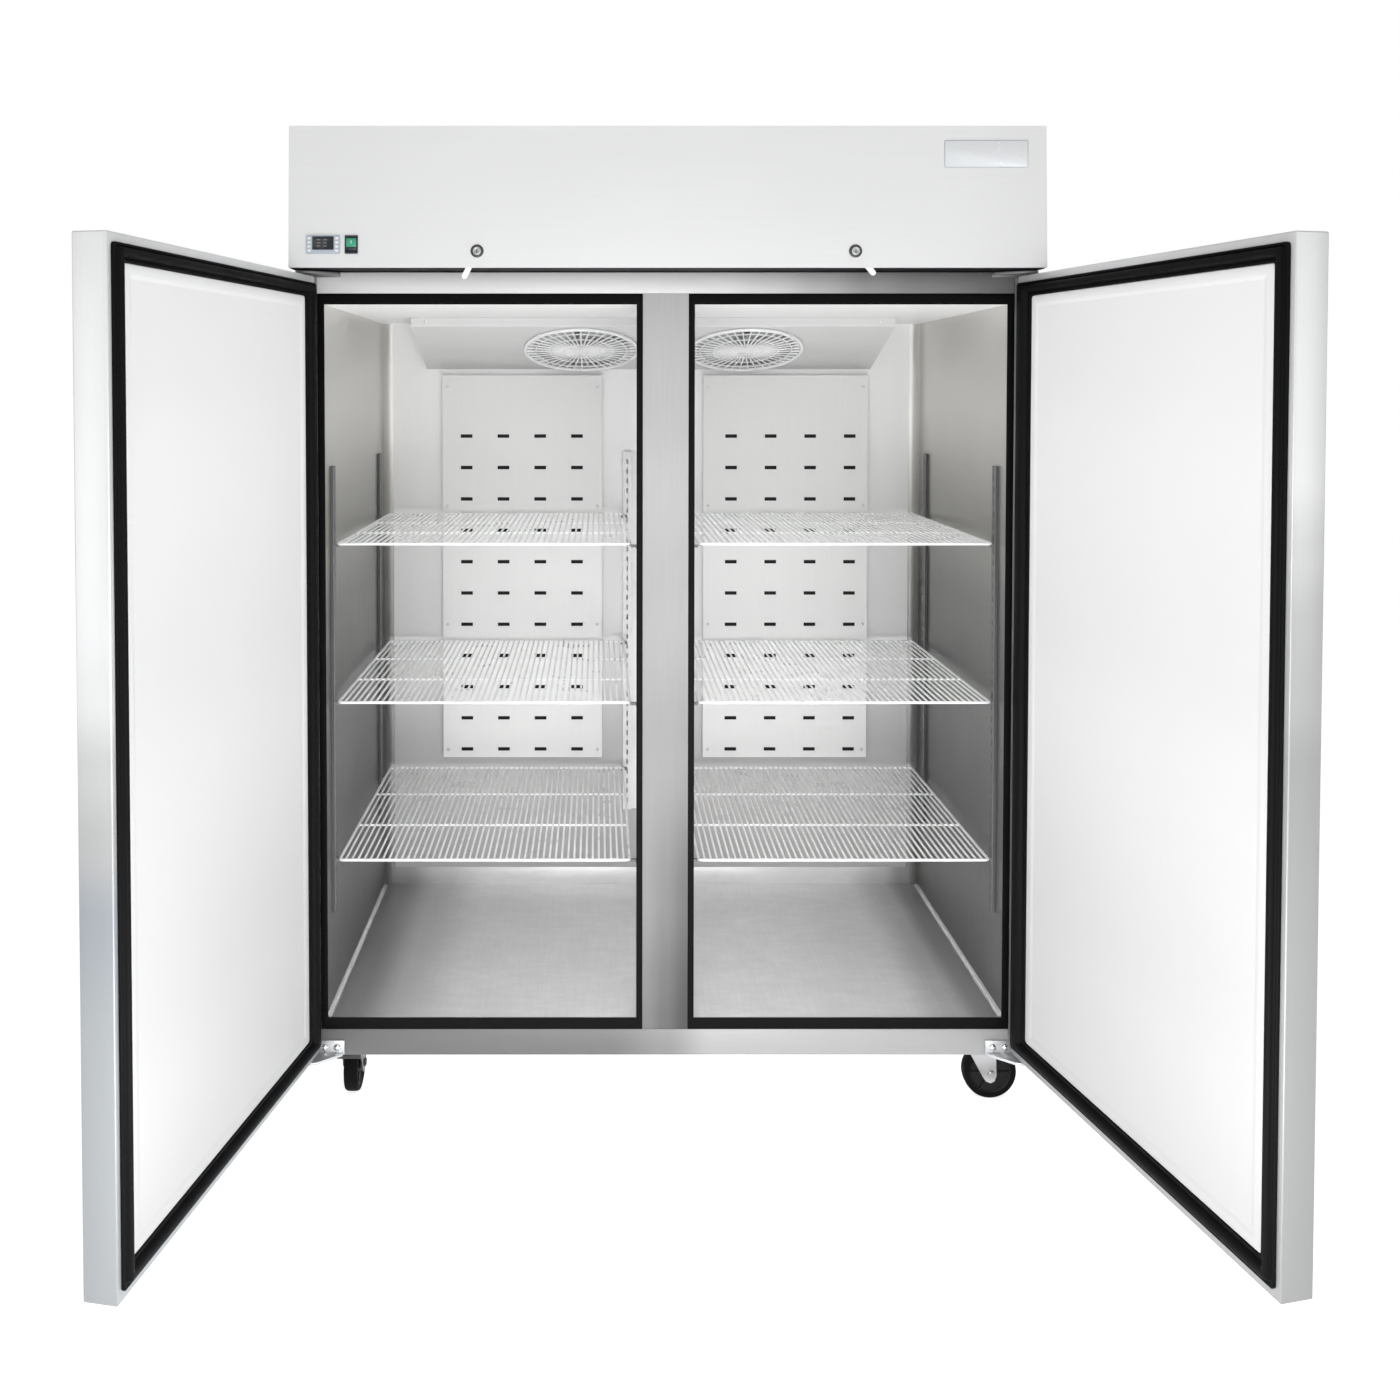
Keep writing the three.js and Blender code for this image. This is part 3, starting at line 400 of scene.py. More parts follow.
# Key: name, colour, roughness, mottle scale, its spread, bump and what else mottled takes.
PLAIN_MATERIALS = {
    # The door panels' shade is painted shade: darker toward the bottom.
    "panel": ("white_door_panel", (0.86, 0.862, 0.862), 0.5, 20, 0.008, 0.02,
              {"specular": 0.3,
               "shade": ((0.18, 0.62), (0.44, 0.66), (0.95, 0.8), (1.45, 0.95), (1.66, 0.98))}),
    "gasket": ("black_gasket", (0.0025, 0.0025, 0.003), 0.6, 90, 0.2, 0.12, {"specular": 0.12}),
    # Black plastic, also used as painted shadow for the header gap strip and the keyways.
    "black": ("black_plastic", (0.002, 0.002, 0.0022), 0.55, 80, 0.15, 0.1, {"specular": 0.1}),
    # Painted shadow: the dark box behind each duct panel's slots.
    "duct_shadow": ("dark_duct_foam", (0.012, 0.012, 0.012), 0.9, 200, 0.3, 0.4, {}),
    "wire": ("white_wire_coat", (0.95, 0.955, 0.955), 0.3, 120, 0.015, 0.05, {"coat": 0.3}),
    "zinc": ("bright_zinc", (0.72, 0.73, 0.74), 0.3, 70, 0.1, 0.08, {"metallic": 1.0}),
    # Painted shade: the strips, their clips and the upper hinge brackets get a dark zinc, and the strip flanges a
    # darker one.
    "strip_zinc": ("dull_strip_zinc", (0.20, 0.20, 0.205), 0.45, 70, 0.1, 0.08, {"metallic": 0.6}),
    "strip_edge": ("strip_flange_zinc", (0.07, 0.07, 0.072), 0.5, 70, 0.1, 0.08, {"metallic": 0.3}),
    "bracket": ("bracket_zinc", (0.56, 0.57, 0.58), 0.36, 90, 0.12, 0.1, {"metallic": 0.8}),
    "zinc_dark": ("dark_plug_metal", (0.08, 0.08, 0.08), 0.4, 60, 0.1, 0.06, {"metallic": 0.6}),
    "chrome": ("chrome_plate", (0.80, 0.81, 0.82), 0.16, 40, 0.03, 0.02, {"metallic": 1.0}),
    # Painted reflection: the fork plate is lighter and darker in bands by height.
    "fork": ("zinc_fork_plate", (0.62, 0.62, 0.63), 0.3, 60, 0.2, 0.05,
             {"metallic": 0.9, "shade": ((0.03, 1.0), (0.06, 0.6), (0.09, 0.85), (0.12, 0.5))}),
    "tyre": ("wheel_rubber", (0.003, 0.003, 0.0033), 0.7, 90, 0.25, 0.2, {"specular": 0.08}),
    "hub": ("wheel_hub_plastic", (0.008, 0.008, 0.009), 0.45, 90, 0.15, 0.1, {"specular": 0.15}),
    "foam": ("rigid_foam", (0.75, 0.70, 0.52), 0.9, 160, 0.1, 0.5, {}),
    "enamel": ("black_enamel", (0.012, 0.012, 0.014), 0.35, 40, 0.1, 0.15, {"coat": 0.3}),
    "copper": ("copper_tube", (0.80, 0.42, 0.26), 0.28, 60, 0.12, 0.05, {"metallic": 1.0}),
    "bezel": ("controller_bezel", (0.42, 0.47, 0.53), 0.4, 90, 0.05, 0.08, {}),
    "display": ("display_window", (0.012, 0.014, 0.018), 0.08, 30, 0.1, 0.0, {"coat": 0.6}),
    "key_mark": ("key_print", (0.82, 0.84, 0.86), 0.4, 90, 0.03, 0.05, {}),
    "navy": ("dark_switch_plastic", (0.015, 0.022, 0.035), 0.35, 90, 0.1, 0.08, {}),
    "green": ("green_rocker", (0.035, 0.34, 0.19), 0.25, 60, 0.1, 0.02, {"coat": 0.4}),
    "badge": ("blank_badge", (0.86, 0.88, 0.90), 0.25, 40, 0.02, 0.02, {"metallic": 0.3}),
    "badge_edge": ("badge_edge", (0.42, 0.45, 0.48), 0.35, 60, 0.05, 0.05, {}),
    "grey_box": ("grey_plastic", (0.35, 0.36, 0.37), 0.5, 80, 0.06, 0.15, {}),
    "fan_grey": ("pale_fan_plastic", (0.62, 0.63, 0.64), 0.4, 80, 0.04, 0.08, {}),
}


def make_materials():
    made = {}
    make_steels(made)
    for key, (*looks, extras) in PLAIN_MATERIALS.items():
        made[key] = mottled(*looks, **extras)
    made["fins"] = finned_metal("aluminium_fins", (0.75, 0.76, 0.77))
    return made


# ---------------------------------------------------------------- mesh building


def mm(*points):
    """Points given in millimetres, as metres."""
    return [tuple(value * MM for value in point) for point in points]


class Shape:
    """Collects the vertices and faces of one piece, in metres."""

    def __init__(self):
        self.verts = []
        self.faces = []

    def add(self, verts, faces):
        start = len(self.verts)
        self.verts.extend(Vector(v) for v in verts)
        self.faces.extend(tuple(start + i for i in face) for face in faces)
        return self

    def join(self, other):
        return self.add(other.verts, other.faces)

    def box(self, x0, x1, y0, y1, z0, z1):
        corners = [(x, y, z) for z in (z0, z1) for y in (y0, y1) for x in (x0, x1)]
        faces = [(0, 2, 3, 1), (4, 5, 7, 6), (0, 1, 5, 4), (2, 6, 7, 3), (0, 4, 6, 2), (1, 3, 7, 5)]
        return self.add(corners, faces)

    def tube(self, points, radius, sides=8, closed=False):
        """A round bar along a path, carried round its bends without a twist."""
        points = [Vector(p) for p in points]
        count = len(points)
        rings = []
        normal = None
        for i, point in enumerate(points):
            ahead = points[(i + 1) % count] if closed or i < count - 1 else point
            behind = points[i - 1] if closed or i > 0 else point
            tangent = (ahead - behind).normalized()
            if normal is None:
                helper = Vector((0, 0, 1)) if abs(tangent.z) < 0.9 else Vector((1, 0, 0))
                normal = tangent.cross(helper).normalized()
            normal = (normal - tangent * normal.dot(tangent)).normalized()
            across = tangent.cross(normal)
            scale = 1.0
            if 0 < i < count - 1 or closed:
                first = (point - behind).normalized()
                second = (ahead - point).normalized()
                scale = 1 / max(math.cos(first.angle(second, 0) / 2), 0.5)
            ring = []
            for k in range(sides):
                angle = 2 * math.pi * k / sides
                ring.append(point + radius * scale * (
                    normal * math.cos(angle) + across * math.sin(angle)))
            rings.append(ring)
        faces = []
        spans = count if closed else count - 1
        for i in range(spans):
            for k in range(sides):
                a, b = i * sides, ((i + 1) % count) * sides
                m = (k + 1) % sides
                faces.append((a + k, a + m, b + m, b + k))
        if not closed:
            faces.append(tuple(reversed(range(sides))))
            faces.append(tuple((count - 1) * sides + k for k in range(sides)))
        return self.add([v for ring in rings for v in ring], faces)

    def turned(self, outline, sides=48, matrix=Matrix.Identity(4)):
        """(radius, height) pairs turned about Z. Zero radius closes on the axis."""
        verts, rings = [], []
        for radius, height in outline:
            if radius < 1e-7:
                rings.append([len(verts)])
                verts.append(Vector((0, 0, height)))
                continue
            ring = []
            for k in range(sides):
                angle = 2 * math.pi * k / sides
                ring.append(len(verts))
                verts.append(Vector((radius * math.cos(angle), radius * math.sin(angle), height)))
            rings.append(ring)
        faces = []
        closed = len(rings[0]) > 1
        pairs = list(zip(rings, rings[1:] + rings[:1] if closed else rings[1:]))
        for low, high in pairs:
            for k in range(sides):
                m = (k + 1) % sides
                a, b = low[k % len(low)], low[m % len(low)]
                c, d = high[m % len(high)], high[k % len(high)]
                face = tuple(dict.fromkeys((a, b, c, d)))
                if len(face) > 2:
                    faces.append(face)
        return self.add([matrix @ v for v in verts], faces)

    def rings(self, loops, closed=False):
        """Joins loops of equal length; open stacks are capped at both ends."""
        size = len(loops[0])
        faces = []
        spans = len(loops) if closed else len(loops) - 1
        for i in range(spans):
            a, b = i * size, ((i + 1) % len(loops)) * size
            for k in range(size):
                m = (k + 1) % size
                faces.append((a + k, a + m, b + m, b + k))
        if not closed:
            faces.append(tuple(reversed(range(size))))
            faces.append(tuple((len(loops) - 1) * size + k for k in range(size)))
        return self.add([v for loop in loops for v in loop], faces)

    def moved(self, matrix):
        self.verts = [matrix @ v for v in self.verts]
        return self


def open_form(name, verts, faces):
    mesh = bpy.data.meshes.new(name)
    mesh.from_pydata([tuple(v) for v in verts], [], faces)
    form = bmesh.new()
    form.from_mesh(mesh)
    return mesh, form


def round_edges(form, width, segments, sharp):
    """Rounds each edge whose two faces turn by more than the sharp angle, in degrees."""
    edges = [e for e in form.edges
             if e.is_manifold and e.calc_face_angle(0) > math.radians(sharp)]
    bmesh.ops.bevel(form, geom=edges, offset=width, segments=segments, profile=0.5,
                    affect="EDGES", clamp_overlap=True)


def place_form(name, mesh, form, material, body, replaces, sharp):
    """Turns an open form into an object with a material, which rides on its body."""
    form.to_mesh(mesh)
    form.free()
    mesh.shade_smooth()
    mesh.set_sharp_from_angle(angle=math.radians(sharp))
    piece = bpy.data.objects.new(name, mesh)
    bpy.context.scene.collection.objects.link(piece)
    mesh.materials.append(material)
    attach(piece, body)
    if replaces:
        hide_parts(*replaces)


def finish_piece(shape, name, body, material, replaces=(), bevel=0.0, segments=2, sharp=35):
    """Makes a piece of a shape, with its edges rounded by the bevel."""
    mesh, form = open_form(name, shape.verts, shape.faces)
    if bevel:
        bmesh.ops.remove_doubles(form, verts=form.verts, dist=1e-7)
    bmesh.ops.recalc_face_normals(form, faces=form.faces)
    if bevel:
        round_edges(form, bevel, segments, sharp)
    place_form(name, mesh, form, material, body, replaces, sharp)


def softened(node, name, material, bevel):
    """A copy of a CAD node's solid with its edges rounded, standing for the node."""
    source, sharp = NODES[node].data, 38
    mesh, form = open_form(name, [v.co for v in source.vertices],
                           [tuple(p.vertices) for p in source.polygons])
    bmesh.ops.remove_doubles(form, verts=form.verts, dist=2e-6)
    bmesh.ops.dissolve_limit(form, angle_limit=math.radians(0.5), verts=form.verts,
                             edges=form.edges)
    bmesh.ops.recalc_face_normals(form, faces=form.faces)
    round_edges(form, bevel, 2, sharp)
    place_form(name, mesh, form, material, body_name(node), (node,), sharp)


def body_name(node):
    for name, members in frame["record"]["behaviour"]["bodies"].items():
        if node in members:
            return name
    return ROOT


def rounded_loop(x0, x1, z0, z1, radius, y, steps=5):
    """A rectangle with round corners in the plane of X and Z, at depth y."""
    radius = max(radius, 1e-6)
    centres = ((x1 - radius, z1 - radius, 0), (x0 + radius, z1 - radius, 90),
               (x0 + radius, z0 + radius, 180), (x1 - radius, z0 + radius, 270))
    loop = []
    for cx, cz, start in centres:
        for i in range(steps + 1):
            angle = math.radians(start + 90 * i / steps)
            loop.append(Vector((cx + radius * math.cos(angle), y, cz + radius * math.sin(angle))))
    return loop


def arc(centre, radius, first, last, steps, plane="XZ"):
    """Points of an arc in a plane, between two angles in degrees."""
    points = []
    for i in range(steps + 1):
        angle = math.radians(first + (last - first) * i / steps)
        a, b = radius * math.cos(angle), radius * math.sin(angle)
        offset = {"XZ": (a, 0, b), "XY": (a, b, 0), "YZ": (0, a, b)}[plane]
        points.append(Vector(centre) + Vector(offset))
    return points


def local_bounds(node, matrix):
    """A CAD node's lowest and highest corners in another frame, given that frame's matrix."""
    inverse = matrix.inverted()
    points = [inverse @ v.co for v in NODES[node].data.vertices]
    low = Vector([min(p[i] for p in points) for i in range(3)])
    high = Vector([max(p[i] for p in points) for i in range(3)])
    return low, high


def axes_turn(x, y, z):
    """The turn that brings the world's axes onto three others."""
    return Matrix((x, y, z)).transposed().to_4x4()


def paint(node, material):
    NODES[node].data.materials.clear()
    NODES[node].data.materials.append(material)


# ---------------------------------------------------------------- cabinet


def make_liner(look):
    """The inner liner as its separate sheets, with a floor pan turned up at its edges."""
    low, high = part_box("inner_liner")
    t = 1 * MM
    x, y1, z0, z1 = high.x, high.y, low.z, high.z
    y0 = low.y
    inside, floor = x - t, z0 + t
    sheets = (
        ("wall_left", "side_wall", (-x, -inside, y0, y1 - t, floor, z1 - t)),
        ("wall_right", "side_wall", (inside, x, y0, y1 - t, floor, z1 - t)),
        ("wall_back", "back_wall", (-x, x, y1 - t, y1, z0, z1)),
        ("ceiling", "ceiling", (-x, x, y0, y1 - t, z1 - t, z1)),
        ("floor", "floor_pan", (-x, x, y0, y1 - t, z0, floor)),
    )
    for name, metal, sides in sheets:
        finish_piece(Shape().box(*sides), f"liner_{name}", ROOT, look[metal],
                     ("inner_liner",))
    corner = Shape()
    for side in (-1, 1):
        corner.rings([corner_section(side, inside, y1 - t, 24 * MM, z) for z in (floor, z1 - t)])
    finish_piece(corner, "liner_rear_coves", ROOT, look["side_wall"])
    rise, back_rise, cove = 11 * MM, 44 * MM, 7 * MM
    edge = Shape()
    for side in (-1, 1):
        edge.rings(cove_loops(side * inside, side, y0 + 2 * MM, y1 - t, floor, cove, rise))
    finish_piece(edge, "floor_pan_edges", ROOT, look["bright_edge"])
    back = Shape().box(-inside + 1 * MM, inside - 1 * MM, y1 - t - 1.2 * MM, y1 - t,
                       floor, floor + back_rise)
    finish_piece(back, "floor_pan_back_edge", ROOT, look["floor_pan"],
                 bevel=0.4 * MM)


def corner_section(side, x, y, radius, z):
    """The section of a fillet between a side wall and the rear wall, at one height."""
    section = [Vector((side * (x - 0.05 * MM), y - 0.05 * MM, z))]
    for i in range(9):
        angle = math.radians(90 * i / 8)
        across = x - radius + radius * math.cos(angle)
        section.append(Vector((side * across, y - radius + radius * math.sin(angle), z)))
    return section


def cove_loops(x, side, y0, y1, z, cove, rise):
    """A thin turned-up edge along Y: from the floor, round a cove and up the wall."""
    t = 0.8 * MM
    section = [(x - side * cove, z + t * 0.3), (x - side * cove, z + t)]
    centre = (x - side * cove, z + cove)
    for i in range(6):
        angle = math.radians(270 + 90 * i / 5)
        section.append((centre[0] + side * (cove - t) * math.cos(angle),
                        centre[1] + (cove - t) * math.sin(angle)))
    section += [(x - side * t, z + rise), (x - side * 0.05 * MM, z + rise),
                (x - side * 0.05 * MM, z + 0.3 * t)]
    return [[Vector((sx, y, sz)) for sx, sz in section] for y in (y0, y1)]


# Rivets of the rear sheet: rows, and their distance from its ends and sides.
RIVET = {"rows": 7, "radius": 4.5 * MM, "end": 0.06, "side": 0.02}


def make_face_frame(look):
    softened("top_rail", "top_rail_face", look["top_rail"], 0.8 * MM)
    softened("sill_rail", "sill_face", look["sill"], 0.8 * MM)
    softened("centre_mullion", "mullion_face", look["mullion"], 0.5 * MM)
    softened("breaker_frame", "breaker_frame_face", look["black"], 0.4 * MM)
    for name in ("left", "right"):
        paint(f"side_panel_{name}", look["steel"])
    for name in ("rear_panel", "top_panel"):
        paint(name, look["steel_x"])
    paint("base_panel", look["zinc"])
    paint("insulation_core", look["foam"])
    low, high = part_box("rear_panel")
    screws = Shape()
    rows, end, side = RIVET["rows"], RIVET["end"], RIVET["side"]
    for i in range(rows):
        z = low.z + end + (high.z - low.z - 2 * end) * i / (rows - 1)
        for x in (low.x + side, high.x - side):
            screws.join(rivet_head((x, high.y, z), RIVET["radius"]))
    finish_piece(screws, "rear_panel_rivets", ROOT, look["zinc"])


def rivet_head(place, radius):
    """A shallow rivet head that sits in the face, so that it stays inside the outline."""
    head = Shape()
    depth = radius * 0.28
    outline = [(0, 0), (radius * 0.6, -depth * 0.12), (radius * 0.9, -depth * 0.5),
               (radius, -depth), (0, -depth)]
    return head.turned(outline, 16, Matrix.Translation(Vector(place)) @ FACING_BACK)


SLOT_PITCH = 25 * MM
STRIP_SHEET = 1.1 * MM


def strip_flanges(width, depth, length):
    """The two side walls of a strip, behind its slotted face."""
    half, gap = width / 2, 0.02 * MM
    shape = Shape().box(-half, -half + STRIP_SHEET, STRIP_SHEET + gap, depth, 0, length)
    return shape.box(half - STRIP_SHEET, half, STRIP_SHEET + gap, depth, 0, length)


def strip_shape(width, length, slot=(4.5 * MM, 13 * MM)):
    """The slotted face of a strip along Z from the origin, facing -Y."""
    shape = Shape()
    half = width / 2
    count = int(length / SLOT_PITCH)
    margin = (length - count * SLOT_PITCH) / 2
    xs = [-half, -slot[0] / 2, slot[0] / 2, half]
    zs = [0.0]
    for i in range(count):
        middle = margin + (i + 0.5) * SLOT_PITCH
        zs += [middle - slot[1] / 2, middle + slot[1] / 2]
    zs.append(length)
    verts, faces = [], []
    layers = (0.0, STRIP_SHEET)
    columns, rows = len(xs), len(zs)

    def at(layer, i, j):
        return layer * columns * rows + j * columns + i

    for y in layers:
        for z in zs:
            for x in xs:
                verts.append((x, y, z))
    for j in range(rows - 1):
        for i in range(columns - 1):
            if i == 1 and j % 2 == 1:
                around = ((i, j, i + 1, j), (i + 1, j, i + 1, j + 1),
                          (i + 1, j + 1, i, j + 1), (i, j + 1, i, j))
                for a, b, c, d in around:
                    faces.append((at(0, a, b), at(0, c, d), at(1, c, d), at(1, a, b)))
                continue
            faces.append((at(0, i, j), at(0, i + 1, j), at(0, i + 1, j + 1), at(0, i, j + 1)))
            faces.append((at(1, i, j), at(1, i, j + 1), at(1, i + 1, j + 1), at(1, i + 1, j)))
    for j in range(rows - 1):
        for i in (0, columns - 1):
            faces.append((at(0, i, j), at(0, i, j + 1), at(1, i, j + 1), at(1, i, j)))
    for i in range(columns - 1):
        for j in (0, rows - 1):
            faces.append((at(0, i, j), at(1, i, j), at(1, i + 1, j), at(0, i + 1, j)))
    return shape.add(verts, faces)


def clip_shape(reach, width, drop=8 * MM):
    """A shelf clip that hooks into a strip at the origin and reaches out along -Y."""
    clip = Shape()
    t, rib, half = 2.2 * MM, 0.6 * MM, width / 2
    clip.box(-half, half, -reach, 0, -t, 0)
    clip.box(-half, half, -t, 0, -drop, -t)
    clip.box(-half, half, -reach, -reach + t, -0.1 * MM, 2.0 * MM)
    for x in (-width * 0.12, width * 0.12):
        clip.box(x - rib, x + rib, -reach * 0.6, 0, -drop * 0.7, -t)
    return clip


def clip_column(x, y, turn, reach, width=10 * MM):
    """The clips of one strip, one under each shelf."""
    clips = Shape()
    for z in shelf_heights():
        clips.join(clip_shape(reach, width).moved(Matrix.Translation((x, y, z)) @ turn))
    return clips


def shelf_heights():
    drop = 0.35 * MM
    return [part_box(f"shelf_left_{level}")[0].z - drop for level in LEVELS]


def make_pilasters(look):
    for name, side in SIDES.items():
        for place in ("front", "rear"):
            node = f"pilaster_{name}_{place}"
            low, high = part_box(node)
            wall = side * (abs(high.x) if side > 0 else abs(low.x))
            depth = 7 * MM
            width, length = high.y - low.y, high.z - low.z
            y = (low.y + high.y) / 2
            turn = Matrix.Rotation(math.radians(-90 * side), 4, "Z")
            foot = Matrix.Translation((wall - side * depth, y, low.z)) @ turn
            strip = strip_shape(width, length).moved(foot)
            finish_piece(strip, f"{node}_strip", ROOT, look["strip_zinc"], (node,))
            flanges = strip_flanges(width, depth, length).moved(foot)
            finish_piece(flanges, f"{node}_flanges", ROOT, look["strip_edge"])
            clips = clip_column(wall - side * depth, y, turn, 16 * MM)
            finish_piece(clips, f"{node}_clips", ROOT, look["strip_zinc"])


POST = {"half": 50 * MM, "strip_depth": 6 * MM, "reach": 22 * MM}


def make_centre_supports(look):
    """The post behind the mullion with its two strips, and the strips on the rear wall."""
    low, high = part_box("centre_post")
    front_low, front_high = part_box("pilaster_left_front")
    base, length = front_low.z, front_high.z - front_low.z
    half, depth = POST["half"], POST["strip_depth"]
    post = Shape().box(-half, half, low.y, high.y, low.z, high.z)
    finish_piece(post, "centre_post_body", ROOT, look["post"], ("centre_post",),
                 bevel=2 * MM)
    strips, clips = Shape(), Shape()
    y = high.y - 11 * MM
    for side in (-1, 1):
        turn = Matrix.Rotation(math.radians(90 * side), 4, "Z")
        foot = Matrix.Translation((side * (half + depth), y, base)) @ turn
        for one in (strip_shape(22 * MM, length), strip_flanges(22 * MM, depth, length)):
            one.moved(foot)
            strips.join(one)
        clips.join(clip_column(side * (half + depth), y, turn, POST["reach"]))
    finish_piece(strips, "centre_post_strips", ROOT, look["strip_zinc"])
    finish_piece(clips, "centre_post_clips", ROOT, look["strip_zinc"])

    low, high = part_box("pilaster_centre_rear")
    rear, fingers = Shape(), Shape()
    rear.box(-50 * MM, 50 * MM, high.y - 1.4 * MM, high.y, base, base + length)
    for side in (-1, 1):
        x = side * 61 * MM
        foot = Matrix.Translation((x, high.y - 10.5 * MM, base))
        for one in (strip_shape(22 * MM, length), strip_flanges(22 * MM, 10.5 * MM, length)):
            one.moved(foot)
            rear.join(one)
        for z in shelf_heights():
            at = Matrix.Translation((side * 72 * MM, high.y - 10.5 * MM, z))
            clip = clip_shape(24 * MM, 12 * MM).moved(at)
            fingers.join(clip)
            fingers.box(min(x, side * 74 * MM), max(x, side * 74 * MM), high.y - 12.5 * MM,
                        high.y - 10.6 * MM, z - 8 * MM, z)
    finish_piece(rear, "rear_centre_strips", ROOT, look["duct"],
                 ("pilaster_centre_rear",))
    finish_piece(fingers, "rear_centre_clips", ROOT, look["strip_zinc"])


WIRE_COUNT = 46
CROSS_WIRES = 2


def make_shelves(look):
    """Coated wire shelves: an edge wire all round, two cross wires and many thin ones on top."""
    for name in SIDES:
        for level in LEVELS:
            node = f"shelf_{name}_{level}"
            low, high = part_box(node)
            edge, cross, thin = 3.0 * MM, 2.4 * MM, 2.3 * MM
            z = (low.z + high.z) / 2
            shape = Shape()
            corner = 9 * MM
            loop = rounded_loop(low.x + edge, high.x - edge, low.y + edge, high.y - edge,
                                corner, 0, 6)
            path = [Vector((p.x, p.z, z)) for p in loop]
            shape.tube(path, edge, 10, closed=True)
            for i in range(CROSS_WIRES):
                y = low.y + (high.y - low.y) * (i + 1) / (CROSS_WIRES + 1)
                shape.tube([(low.x + edge, y, z - 0.6 * MM), (high.x - edge, y, z - 0.6 * MM)],
                           cross, 8)
            pitch = (high.x - low.x - 2 * edge) / (WIRE_COUNT + 1)
            top = high.z - thin
            for i in range(WIRE_COUNT):
                x = low.x + edge + pitch * (i + 1)
                dip = 1.2 * MM
                shape.tube(
                    [(x, low.y + 1.2 * MM + thin, top - dip), (x, low.y + 8 * MM, top),
                     (x, high.y - 8 * MM, top), (x, high.y - 1.2 * MM - thin, top - dip)],
                    thin, 7,
                )
            finish_piece(shape, f"{node}_wires", f"{node}_body", look["wire"],
                         (node,), sharp=50)


# ---------------------------------------------------------------- cold air


def tilted_frame(joint_name):
    """The frame of a fan: Z along its joint's axis, X across the cabinet."""
    joint = JOINTS[joint_name]
    axis = Vector(joint["axis"]).normalized()
    across = Vector((1, 0, 0))
    up = axis.cross(across)
    return Matrix.Translation(Vector(joint["pos_m"])) @ axes_turn(across, up, axis)


GUARD_SPOKES = 40


def make_fan(look, name):
    joint = f"evaporator_fan_{name}_spin"
    matrix = tilted_frame(joint)
    guard_node, fan_node = f"fan_guard_{name}", f"evaporator_fan_{name}"
    guard = Shape()
    z = -5 * MM
    outer = 137.6 * MM
    for radius, wire, height in ((outer, 4.2 * MM, z), (112 * MM, 1.7 * MM, z - 1.0 * MM),
                                 (78 * MM, 1.7 * MM, z - 1.4 * MM), (44 * MM, 1.7 * MM, z - 1.6 * MM)):
        circle = [Vector((radius * math.cos(a), radius * math.sin(a), height))
                  for a in (2 * math.pi * k / 72 for k in range(72))]
        guard.tube(circle, wire, 8, closed=True)
    for i in range(GUARD_SPOKES):
        angle = 2 * math.pi * i / GUARD_SPOKES
        turn = Matrix.Rotation(angle, 4, "Z")
        path = [(19 * MM, 0, z - 1.6 * MM), (70 * MM, 0, z - 1.2 * MM), (125 * MM, 0, z - 0.5 * MM),
                (outer, 0, z)]
        guard.tube([turn @ Vector(p) for p in path], 2.2 * MM, 6)
    guard.turned(mm((0, -8.8), (15, -8.6), (19, -7.6), (20, -6), (20, -3.5), (0, -3.5)), 32)
    for i in range(4):
        turn = Matrix.Rotation(math.pi / 4 + i * math.pi / 2, 4, "Z")
        tab = Shape().box(131 * MM, 140.5 * MM, -6 * MM, 6 * MM, -3 * MM, -1.2 * MM).moved(turn)
        guard.join(tab)
    guard.moved(matrix)
    finish_piece(guard, f"{guard_node}_wires", ROOT, look["wire"], (guard_node,),
                 sharp=50)
    motor = Shape().turned(
        mm((0, -3.4), (24, -3.4), (28, -1.5), (28, 3), (26, 4.5), (4, 4.5), (4, 20), (0, 20)),
        32, matrix)
    finish_piece(motor, f"fan_motor_{name}", ROOT, look["fan_grey"])
    blades = fan_blades(5, 21 * MM, 111.5 * MM, 7.5 * MM, 23.5 * MM, 5.3 * MM).moved(matrix)
    finish_piece(blades, f"{fan_node}_blades", f"{fan_node}_rotor", look["fan_grey"],
                 (fan_node,), sharp=45)


def fan_blades(count, hub, tip, z0, z1, bore):
    """A moulded fan about Z: a bored hub and swept, twisted blades."""
    fan = Shape()
    fan.turned([(bore, z0), (hub - 2 * MM, z0), (hub, z0 + 2 * MM), (hub, z1 - 2 * MM),
                (hub - 2 * MM, z1), (bore, z1)], 32)
    middle, height = (z0 + z1) / 2, (z1 - z0)
    steps, thick = 8, 1.3 * MM
    for k in range(count):
        loops = []
        for i in range(steps + 1):
            share = i / steps
            radius = hub - 2 * MM + (tip - hub + 2 * MM) * share
            sweep = math.radians(26) * share ** 1.4 + 2 * math.pi * k / count
            half = math.radians(33 - 4 * share) * (1 - 0.25 * max(share - 0.85, 0) / 0.15)
            rise = (height / 2 - thick) * (1 - 0.35 * share)
            points = []
            for j in range(7):
                along = -1 + 2 * j / 6
                angle = sweep + half * along
                camber = 0.12 * height * (1 - along * along)
                points.append((radius, angle, middle + rise * along * 0.9 + camber * 0.5))
            upper = [Vector((r * math.cos(a), r * math.sin(a), z + thick / 2)) for r, a, z in points]
            lower = [Vector((r * math.cos(a), r * math.sin(a), z - thick / 2))
                     for r, a, z in reversed(points)]
            loops.append(upper + lower)
        fan.rings(loops)
    return fan


def add_screw(shape, place):
    """A shallow screw head that faces the front."""
    shape.turned(mm((0, 1.6), (2.5, 1.3), (4, 0), (0, 0)), 16,
                 Matrix.Translation(place) @ FACING)


